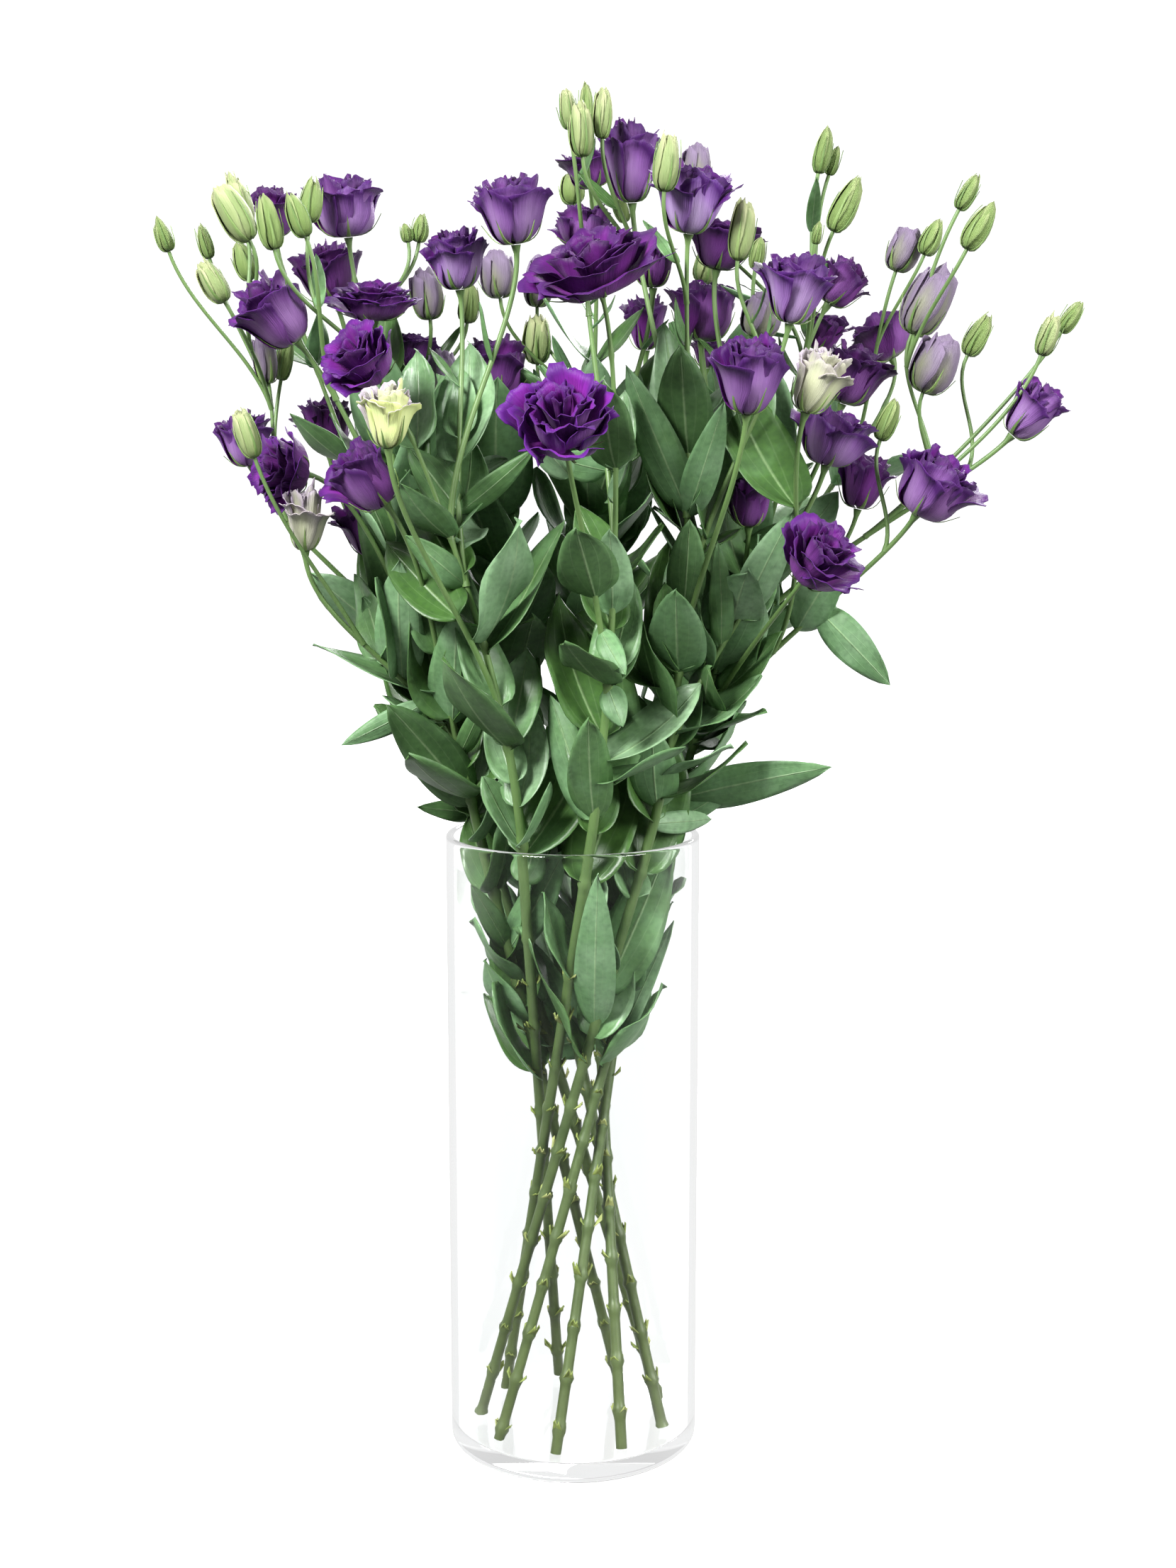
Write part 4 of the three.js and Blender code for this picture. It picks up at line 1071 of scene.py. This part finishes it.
def read_blade(tree):
    """The place across and along a blade, the distance from its middle, and its tone and shade."""
    flat = tree.nodes.new("ShaderNodeUVMap")
    flat.uv_map = "blade"
    split = tree.nodes.new("ShaderNodeSeparateXYZ")
    tree.links.new(flat.outputs["UV"], split.inputs["Vector"])
    off = add_math(tree, "SUBTRACT", split.outputs["X"], 0.5)
    values = []
    for name in ("tone", "shade"):
        reader = tree.nodes.new("ShaderNodeAttribute")
        reader.attribute_name = name
        values.append(reader.outputs["Fac"])
    return flat.outputs["UV"], split.outputs["Y"], add_math(tree, "ABSOLUTE", off), *values


def leaf_finish(name, stops, rib, roughness, speck_share=0.75):
    """Waxy green, cloudy, with a pale rib, finer side ribs and a tone that differs leaf by leaf."""
    material, tree, shader, place = new_finish(name, roughness, 0.35)
    _, along, off, tone, _ = read_blade(tree)
    clouds = add_noise(tree, place, 42.0, 4.0)
    level = add(tree, multiply(tree, clouds, 0.7), multiply(tree, tone, 0.5))
    green = add_ramp(tree, level, stops)
    middle = add_math(tree, "SUBTRACT", 1.0, multiply(tree, off, 30.0))
    fan = add(tree, multiply(tree, off, 30.0), multiply(tree, along, -8.0))
    fine = add_math(tree, "MAXIMUM", add_math(tree, "SINE", fan), 0.0)
    fine = add_math(tree, "POWER", fine, 20.0)
    ribs = add_math(tree, "MAXIMUM", middle, multiply(tree, fine, 0.16))
    ribs = add_math(tree, "MAXIMUM", ribs, 0.0)
    ribbed = add_mix(tree, multiply(tree, ribs, 0.5), green, rib)
    specks = add_noise(tree, place, 330.0, 6.0)
    dark = multiply(tree, add_math(tree, "POWER", specks, 2.0), speck_share)
    tree.links.new(add_mix(tree, dark, ribbed, "#1f3323"), shader.inputs["Base Color"])
    relief = add(tree, ribs, multiply(tree, specks, 0.5))
    add_bump(tree, shader, relief, 0.3 * MM)
    return material


# The lightest stops of both sides are partly the waxy bloom of the leaves and partly painted sheen, which
# stands in for the gleam of the lamps and is scattered by the clouds at random.
leaf_top = leaf_finish(
    "leaf upper side", [(0.15, "#223a18"), (0.45, "#44672f"), (0.7, "#628757"), (1.0, "#9fbf99")],
    "#a0bd88", 0.36)
leaf_under = leaf_finish(
    "leaf underside", [(0.15, "#335029"), (0.45, "#567b48"), (0.7, "#6a9163"), (1.0, "#93b48d")],
    "#adc897", 0.5)
torn_green = leaf_finish(
    "torn leaf base", [(0.2, "#5d6b2c"), (0.6, "#8a9a4c"), (0.95, "#b3b878")], "#c3c48a", 0.6)
leaf_grid = flat_grid(8, 14)
scrap_grid = flat_grid(4, 4)

# A pair of torn bases sits at each joint of the stem up to the rim, but not right at its cut end.
TORN_LOWEST = 6
TORN_HIGHEST = 300
TORN_LENGTHS = (2.0, 6.5)
TORN_WIDTH = 2.9
TORN_ROOT = 3.1


def torn_bases(stem):
    """The short stubs of leaves that were torn off below the fork, a pair at each joint."""
    run = stem["rim"] - stem["foot"]
    along = unit(run)
    side, other = square_to(along)
    u, v = scrap_grid["across"], scrap_grid["along"]
    sheets = []
    for distance in np.arange(stem["first_pair"] % (PAIR_STEP / 2), TORN_HIGHEST, PAIR_STEP / 2):
        if distance < TORN_LOWEST:
            continue
        bearing = random.uniform(0, math.tau)
        for half in (0, math.pi):
            length = random.uniform(*TORN_LENGTHS)
            outward = side * math.cos(bearing + half) + other * math.sin(bearing + half)
            sideways = np.cross(along, outward)
            jagged = 1 + 0.35 * np.sin(9 * u + bearing)
            points = (stem["foot"] + along * distance
                      + np.outer(TORN_ROOT + length * 0.75 * v, outward)
                      + np.outer(length * v * jagged, along)
                      + np.outer(TORN_WIDTH * u * (1 - 0.45 * v), sideways))
            sheets.append((scrap_grid, points, random.uniform(0, 1), 0.0, 1))
    return sheets


for stem in stems:
    sheets = [(leaf_grid, bend_leaf(leaf, leaf_grid), random.uniform(0, 1), 0.0, 0)
              for leaf in stem["leaves"]]
    blades = build_sheets(f"leaves_{stem['name']}", sheets + torn_bases(stem), BLADE,
                          [(leaf_under, leaf_top), (torn_green, torn_green)])
    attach(blades, "root")
    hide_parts(stem["name"])

# The buds are slim spindles of petals wound round each other, blunt and a little frayed at the tip.
# Young ones are green, older ones cream or grey-lilac. A flat grid is bent into each petal: its
# outer face is the outside of the flower, and Solidify adds the inside.
PETAL = 0.35 * MM

# For each form its whorls, from the outside in: number of petals, half the angle that one spans,
# the four control points of its middle line as radius in widths and height in lengths, the least
# and the most that its tip leans out, and how strongly its rim is ruffled.
WHORLS = {
    "green": [
        (5, 52, ((0.12, 0.0), (0.64, 0.04), (0.50, 0.74), (0.13, 1.0)), (0.0, 0.02), 0.01),
        (3, 60, ((0.08, 0.1), (0.40, 0.1), (0.30, 0.7), (0.05, 0.94)), (0.0, 0.02), 0.01),
    ],
    "pale": [
        (5, 52, ((0.12, 0.0), (0.62, 0.05), (0.52, 0.70), (0.24, 0.97)), (-0.05, 0.08), 0.03),
        (4, 58, ((0.08, 0.1), (0.46, 0.1), (0.40, 0.74), (0.14, 1.0)), (0.0, 0.05), 0.03),
    ],
    "grey": [
        (5, 52, ((0.12, 0.0), (0.62, 0.02), (0.54, 0.66), (0.34, 0.95)), (-0.06, 0.10), 0.04),
        (4, 58, ((0.08, 0.1), (0.48, 0.1), (0.44, 0.72), (0.20, 1.0)), (0.0, 0.06), 0.04),
    ],
    "cup": [
        (5, 50, ((0.07, 0.0), (0.48, 0.0), (0.39, 0.56), (0.34, 0.90)), (-0.03, 0.36), 0.065),
        (5, 50, ((0.05, 0.05), (0.40, 0.08), (0.34, 0.66), (0.30, 0.98)), (-0.03, 0.24), 0.07),
        (4, 56, ((0.04, 0.1), (0.27, 0.2), (0.24, 0.72), (0.22, 1.02)), (-0.03, 0.10), 0.06),
        (3, 64, ((0.02, 0.2), (0.14, 0.3), (0.13, 0.7), (0.10, 0.98)), (0.0, 0.03), 0.04),
    ],
    "open": [
        (5, 46, ((0.06, 0.0), (0.40, 0.0), (0.42, 0.40), (0.44, 0.62)), (-0.03, 0.09), 0.06),
        (5, 46, ((0.05, 0.05), (0.34, 0.08), (0.36, 0.56), (0.37, 0.82)), (-0.04, 0.1), 0.06),
        (5, 48, ((0.04, 0.1), (0.24, 0.2), (0.27, 0.70), (0.28, 0.95)), (-0.04, 0.07), 0.07),
        (4, 54, ((0.03, 0.15), (0.15, 0.3), (0.18, 0.75), (0.18, 1.01)), (-0.03, 0.05), 0.05),
        (3, 64, ((0.02, 0.2), (0.08, 0.3), (0.09, 0.8), (0.10, 0.98)), (0.0, 0.02), 0.03),
    ],
}
CUSP = 0.05
EDGE_TUCK = 0.1
ROLL_START = 0.72
TOOTH_OUT = 0.3
TOOTH_UP = 0.36
random = np.random.default_rng(7)


def curve_weights(t):
    """How much each of the four control points of a middle line counts at some shares of it."""
    return np.array(((1 - t) ** 3, 3 * (1 - t) ** 2 * t, 3 * (1 - t) * t ** 2, t ** 3))


def bend_petal(head, grid, columns, centre, whorl, mood):
    """One petal: its middle line turned round the axis, one edge tucked in, its rim ruffled."""
    _, spread, controls, leans, ruffle = whorl
    u, v = grid["across"], grid["along"]
    teeth = random.uniform(-1, 1, columns + 1)[np.round((u + 1) * columns / 2).astype(int)]
    drop = random.uniform(0.08, 0.2)
    cusp = CUSP * np.maximum(0, 1 - np.abs(u - random.uniform(-0.15, 0.15)) / 0.3)
    t = v * (1 - drop * np.abs(u) ** 2.6 + cusp * v ** 2)
    lean = lerp(leans, random.uniform(0, 1) ** 1.5)
    tip = np.array(controls) * random.uniform(0.92, 1.07, (4, 2))
    tip[1, 0] *= mood[0]
    lean = lean + mood[1] * (1 if lean > 0 else 0.4)
    tip[3] += (lean, -0.55 * abs(lean))
    radius, height = tip.T @ curve_weights(t)
    turn = random.uniform(0, math.tau)
    folds = random.uniform(3, 6)
    swing = np.sin(folds * u + turn) + 0.45 * np.sin(2.7 * folds * u + 2 * turn)
    radius = radius * (1 + EDGE_TUCK * u) + ruffle * v ** 3 * swing * (0.5 + 0.5 * np.abs(u))
    radius = radius + random.uniform(-0.01, 0.05) * v * np.abs(u) ** 4
    roll = random.uniform(0, 1.4) * ruffle * (np.maximum(v - ROLL_START, 0) / (1 - ROLL_START)) ** 2
    radius = radius + roll + TOOTH_OUT * ruffle * teeth * v ** 8
    height = height - 0.5 * roll + 0.4 * ruffle * v ** 3 * np.cos(folds * u + turn)
    height = height + TOOTH_UP * ruffle * teeth * v ** 10
    angle = (centre + u * math.radians(spread) * (0.5 + 0.5 * np.minimum(1, v * 1.7))
             + random.uniform(0, 0.25) * v)
    side, other = square_to(head["axis"])
    radius = np.maximum(radius, 0.01) * head["width"]
    return (head["base"] + np.outer(height * head["length"], head["axis"])
            + np.outer(radius * np.cos(angle), side) + np.outer(radius * np.sin(angle), other))


def petals_of(head, outer, inner, finish=0):
    """All petals of a bloom or bud, with the grids for its outer two whorls and for the others."""
    sheets = []
    start = random.uniform(0, math.tau)
    mood = (random.uniform(0.74, 1.04), random.uniform(-0.06, 0.08)) if head["is_bloom"] else (1.0, 0.0)
    for i, whorl in enumerate(WHORLS[head["kind"]]):
        grid, columns = outer if i < 2 else inner
        for k in range(whorl[0]):
            centre = start + math.tau * (k + 0.5 * i) / whorl[0] + random.uniform(-0.12, 0.12)
            # A bloom's pale and bright values, which hold painted shade for the blooms at the back of the
            # bunch, set the tone and shade of its petals, a little duller on the inner whorls.
            tone = head["pale"] * (1 - 0.22 * i) + random.uniform(-0.1, 0.1)
            shade = head["bright"] * (1 - 0.12 * i) + random.uniform(-0.1, 0.1)
            sheets.append((grid, bend_petal(head, grid, columns, centre, whorl, mood), tone, shade, finish))
    return sheets


def petal_finish(name, dull, pale, vein, vein_share, foot, reads_tone):
    """Satin petal: two rows of colours from its heart to its rim, mixed by tone or shade, and veined."""
    material, tree, shader, place = new_finish(name, 0.5, 0.24)
    shader.inputs["Sheen Weight"].default_value = 0.04
    flat, along, off, tone, shade = read_blade(tree)
    clouds = add_noise(tree, place, 70.0, 4.0)
    edge = add(tree, multiply(tree, off, 1.2), add_math(tree, "POWER", along, 4.0))
    edge = add(tree, edge, multiply(tree, clouds, 0.5))
    edge = add_math(tree, "SUBTRACT", edge, 0.3)
    rows = [add_ramp(tree, edge, list(zip((0.0, 0.5, 1.0), row))) for row in (dull, pale)]
    body = add_mix(tree, tone if reads_tone else shade, *rows)
    veins = add_noise(tree, flat, 30.0, 5.0, (1.6, 0.06, 1))
    veins = add_math(tree, "POWER", veins, 2.0)
    painted = add_mix(tree, multiply(tree, veins, vein_share), body, vein)
    low = add_math(tree, "SUBTRACT", 1.0, multiply(tree, along, 5.0))
    low = add_math(tree, "MAXIMUM", low, 0.0)
    tree.links.new(add_mix(tree, low, painted, foot), shader.inputs["Base Color"])
    add_bump(tree, shader, veins, 0.5 * MM)
    return material


bud_finishes = [
    petal_finish("green bud petal", ("#6f8748", "#7d9356", "#95a36d"), ("#6f8748", "#7d9356", "#95a36d"),
                 "#4f6633", 0.6, "#5f7d3e", True),
    petal_finish("pale bud petal", ("#849660", "#94a26e", "#b0b588"), ("#849660", "#94a26e", "#b0b588"),
                 "#627747", 0.6, "#688245", True),
    petal_finish("grey bud petal", ("#7c7f66", "#75697b", "#7f6f89"), ("#7c7f66", "#75697b", "#7f6f89"),
                 "#554a5e", 0.75, "#839a5c", True),
]
small_petal = (flat_grid(8, 7), 8)
for stem in stems:
    kinds = ("green", "pale", "grey")
    sheets = []
    for bud in stem["buds"]:
        sheets += petals_of(bud, small_petal, small_petal, kinds.index(bud["kind"]))
    if not sheets:
        continue
    buds = build_sheets(f"buds_{stem['name']}", sheets, PETAL, [(finish, finish) for finish in bud_finishes])
    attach(buds, "root")
    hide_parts(stem["name"])

# The calyx is five narrow green sepals round the foot of every bloom and bud, keeled down the
# middle. They lie along the outer petals and their tips stand free.
SEPAL = 0.4 * MM
SEPAL_WIDENING = 1.05
SEPAL_GAP = 0.55
SEPAL_KEEL = 0.12
sepal_green = leaf_finish("sepal", [(0.15, "#4d6a36"), (0.5, "#6c8a4a"), (0.95, "#8aa361")],
                          "#b0c687", 0.5, 0.2)
sepal_grid = flat_grid(4, 7)


def sepals_of(head, reach, width, lean):
    """Five narrow blades that follow the flank of a head up to a share of its length."""
    u, v = sepal_grid["across"], sepal_grid["along"]
    side, other = square_to(head["axis"])
    controls = np.array(WHORLS[head["kind"]][0][2])
    start = random.uniform(0, math.tau)
    sheets = []
    for k in range(5):
        angle = start + math.tau * k / 5 + random.uniform(-0.2, 0.2)
        outward = side * math.cos(angle) + other * math.sin(angle)
        t = v * reach * random.uniform(0.8, 1.15)
        radius, height = controls.T @ curve_weights(t)
        radius = (radius * head["width"] * SEPAL_WIDENING + SEPAL_GAP
                  + lean * random.uniform(0.1, 1.2) * v ** 4)
        blade = 0.5 * width * np.minimum(1, v * 5 + 0.5) * (1 - v) ** 0.8
        points = (head["base"] + np.outer(height * head["length"], head["axis"])
                  + np.outer(radius - SEPAL_KEEL * np.abs(u) * blade, outward)
                  + np.outer(u * blade, np.cross(head["axis"], outward)))
        sheets.append((sepal_grid, points, random.uniform(0, 1), 0.0, 0))
    return sheets


for stem in stems:
    sheets = []
    for head in (stalk["head"] for stalk in stem["stalks"]):
        if head["is_bloom"]:
            sheets += sepals_of(head, reach=0.6, width=2.8, lean=3.0)
        elif head["kind"] == "grey":
            sheets += sepals_of(head, reach=0.62, width=2.8, lean=2.0)
        else:
            sheets += sepals_of(head, reach=0.85, width=0.17 * head["width"], lean=1.6)
    sepals = build_sheets(f"sepals_{stem['name']}", sheets, SEPAL, [(sepal_green, sepal_green)])
    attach(sepals, "root")
    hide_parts(stem["name"])

# The blooms are whorls of thin satin petals that overlap like roof tiles, their rims ruffled and
# finely torn. Cups stay wrapped round their heart, with a few outer petals bent out, and open ones
# spread into rosettes. Their outside is paler than their inside, most of all in its middle.
# The dull rows of the violet finishes are partly the petals' own deep colour and partly painted shade, for
# the blooms at the back of the bunch.
violet_out = petal_finish("violet petal outside", ("#742887", "#591468", "#350b43"),
                          ("#b79fca", "#9670b2", "#4f2270"), "#3a1a50", 0.7, "#8a9a70", True)
violet_in = petal_finish("violet petal inside", ("#661a76", "#550f62", "#350a42"),
                         ("#aa3dbd", "#8626a0", "#57187a"), "#3d0f58", 0.7, "#6f4a80", False)
pale_out = petal_finish("pale petal outside", ("#b4b79c", "#aaa79e", "#93859a"),
                        ("#e0eaa6", "#d8e59c", "#c9d586"), "#a3aa7c", 0.45, "#93b45a", True)
pale_in = petal_finish("pale petal inside", ("#d5d2c6", "#c9c2c6", "#a99ab4"),
                       ("#dbe2ae", "#d3dca4", "#c9cf94"), "#9f9a80", 0.4, "#a5b878", False)
outer_petal = (flat_grid(16, 10), 16)
inner_petal = (flat_grid(11, 7), 11)
for bloom in blooms:
    is_pale = bloom["name"].startswith("pale")
    petals = build_sheets(f"petals_{bloom['name']}", petals_of(bloom, outer_petal, inner_petal), PETAL,
                          [(pale_out, pale_in) if is_pale else (violet_out, violet_in)])
    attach(petals, "root")
    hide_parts(bloom["name"])

# The vase stands on plain white paper, which glows a little, so that it is as white as the room
# behind it. The paper doesn't show in or through the glass.
PAPER_GLOW = 0.85
bpy.ops.object.select_all(action="DESELECT")
bpy.ops.mesh.primitive_plane_add(size=40, location=(0, 0, -0.3 * MM))
floor = bpy.context.object
floor.name = "floor"
white_paper, tree, shader, place = new_finish("white paper", 0.9)
grain = add_noise(tree, place, 300.0)
tree.links.new(add_ramp(tree, grain, [(0.3, "#f6f6f6"), (0.7, "#fbfbfb")]), shader.inputs["Base Color"])
shader.inputs["Emission Color"].default_value = (1, 1, 1, 1)
shader.inputs["Emission Strength"].default_value = PAPER_GLOW
floor.data.materials.append(white_paper)
floor.visible_glossy = False
floor.visible_diffuse = False
floor.visible_transmission = False

# Soft studio light from all sides, stronger from the upper left in front. The room is white behind
# the vase and dark on the viewer's side, which shows only where the glass mirrors it.
VIEW_LEVEL = 0.8
LIGHT_LEVEL = 0.32
world = bpy.data.worlds.new("studio")
bpy.context.scene.world = world
world.use_nodes = True
tree = world.node_tree
path = tree.nodes.new("ShaderNodeLightPath")
through_glass = add_math(tree, "MINIMUM", path.outputs["Transmission Depth"], 1.0)
is_light = add_math(tree, "MINIMUM", path.outputs["Diffuse Depth"], 1.0)
is_mirror = add_math(tree, "MINIMUM", path.outputs["Glossy Depth"], 1.0)
is_view = add_math(tree, "MAXIMUM", path.outputs["Is Camera Ray"], through_glass)
for seen_otherwise in (is_light, is_mirror):
    is_view = multiply(tree, is_view, add_math(tree, "SUBTRACT", 1.0, seen_otherwise))
way = tree.nodes.new("ShaderNodeTexCoord")
split = tree.nodes.new("ShaderNodeSeparateXYZ")
tree.links.new(way.outputs["Generated"], split.inputs["Vector"])
from_dark = tree.nodes.new("ShaderNodeMapRange")
for key, number in (("From Min", -0.3), ("From Max", 0.3), ("To Min", -0.12), ("To Max", 0.58)):
    from_dark.inputs[key].default_value = number
tree.links.new(split.outputs["Y"], from_dark.inputs["Value"])
in_view = multiply(tree, is_view, VIEW_LEVEL)
in_mirror = multiply(tree, is_mirror, from_dark.outputs["Result"])
level = add(tree, add(tree, in_view, in_mirror), LIGHT_LEVEL)
tree.nodes["Background"].inputs["Color"].default_value = (1, 1, 1, 1)
tree.links.new(add_math(tree, "MAXIMUM", level, 0.0), tree.nodes["Background"].inputs["Strength"])


def add_lamp(name, location, size, watts):
    """A large soft lamp that looks at the middle of the bunch."""
    lamp = bpy.data.lights.new(name, "AREA")
    lamp.energy = watts
    lamp.size = size
    stand = bpy.data.objects.new(name, lamp)
    stand.location = location
    aim = np.array((0, 0, 0.5)) - np.array(location)
    stand.rotation_euler = (math.atan2(math.hypot(aim[0], aim[1]), -aim[2]), 0,
                            math.atan2(aim[0], -aim[1]) + math.pi)
    bpy.context.collection.objects.link(stand)


add_lamp("key", (-1.3, -1.6, 2.0), 0.8, 150)
add_lamp("fill", (1.8, -1.2, 1.4), 1.0, 70)
add_lamp("back", (0.6, 1.7, 1.7), 1.4, 80)

# The camera stands where the photograph was taken from, well above the rim of the vase, and looks
# slightly down.
CAMERA_FALL = 8.88
bpy.context.scene.view_settings.view_transform = "Standard"
camera = bpy.data.cameras.new("camera")
camera.lens = 50.5
camera.sensor_width = 36
camera_stand = bpy.data.objects.new("camera", camera)
camera_stand.location = EYE * MM
camera_stand.rotation_euler = (math.radians(90 - CAMERA_FALL), 0, 0)
bpy.context.collection.objects.link(camera_stand)
bpy.context.scene.camera = camera_stand
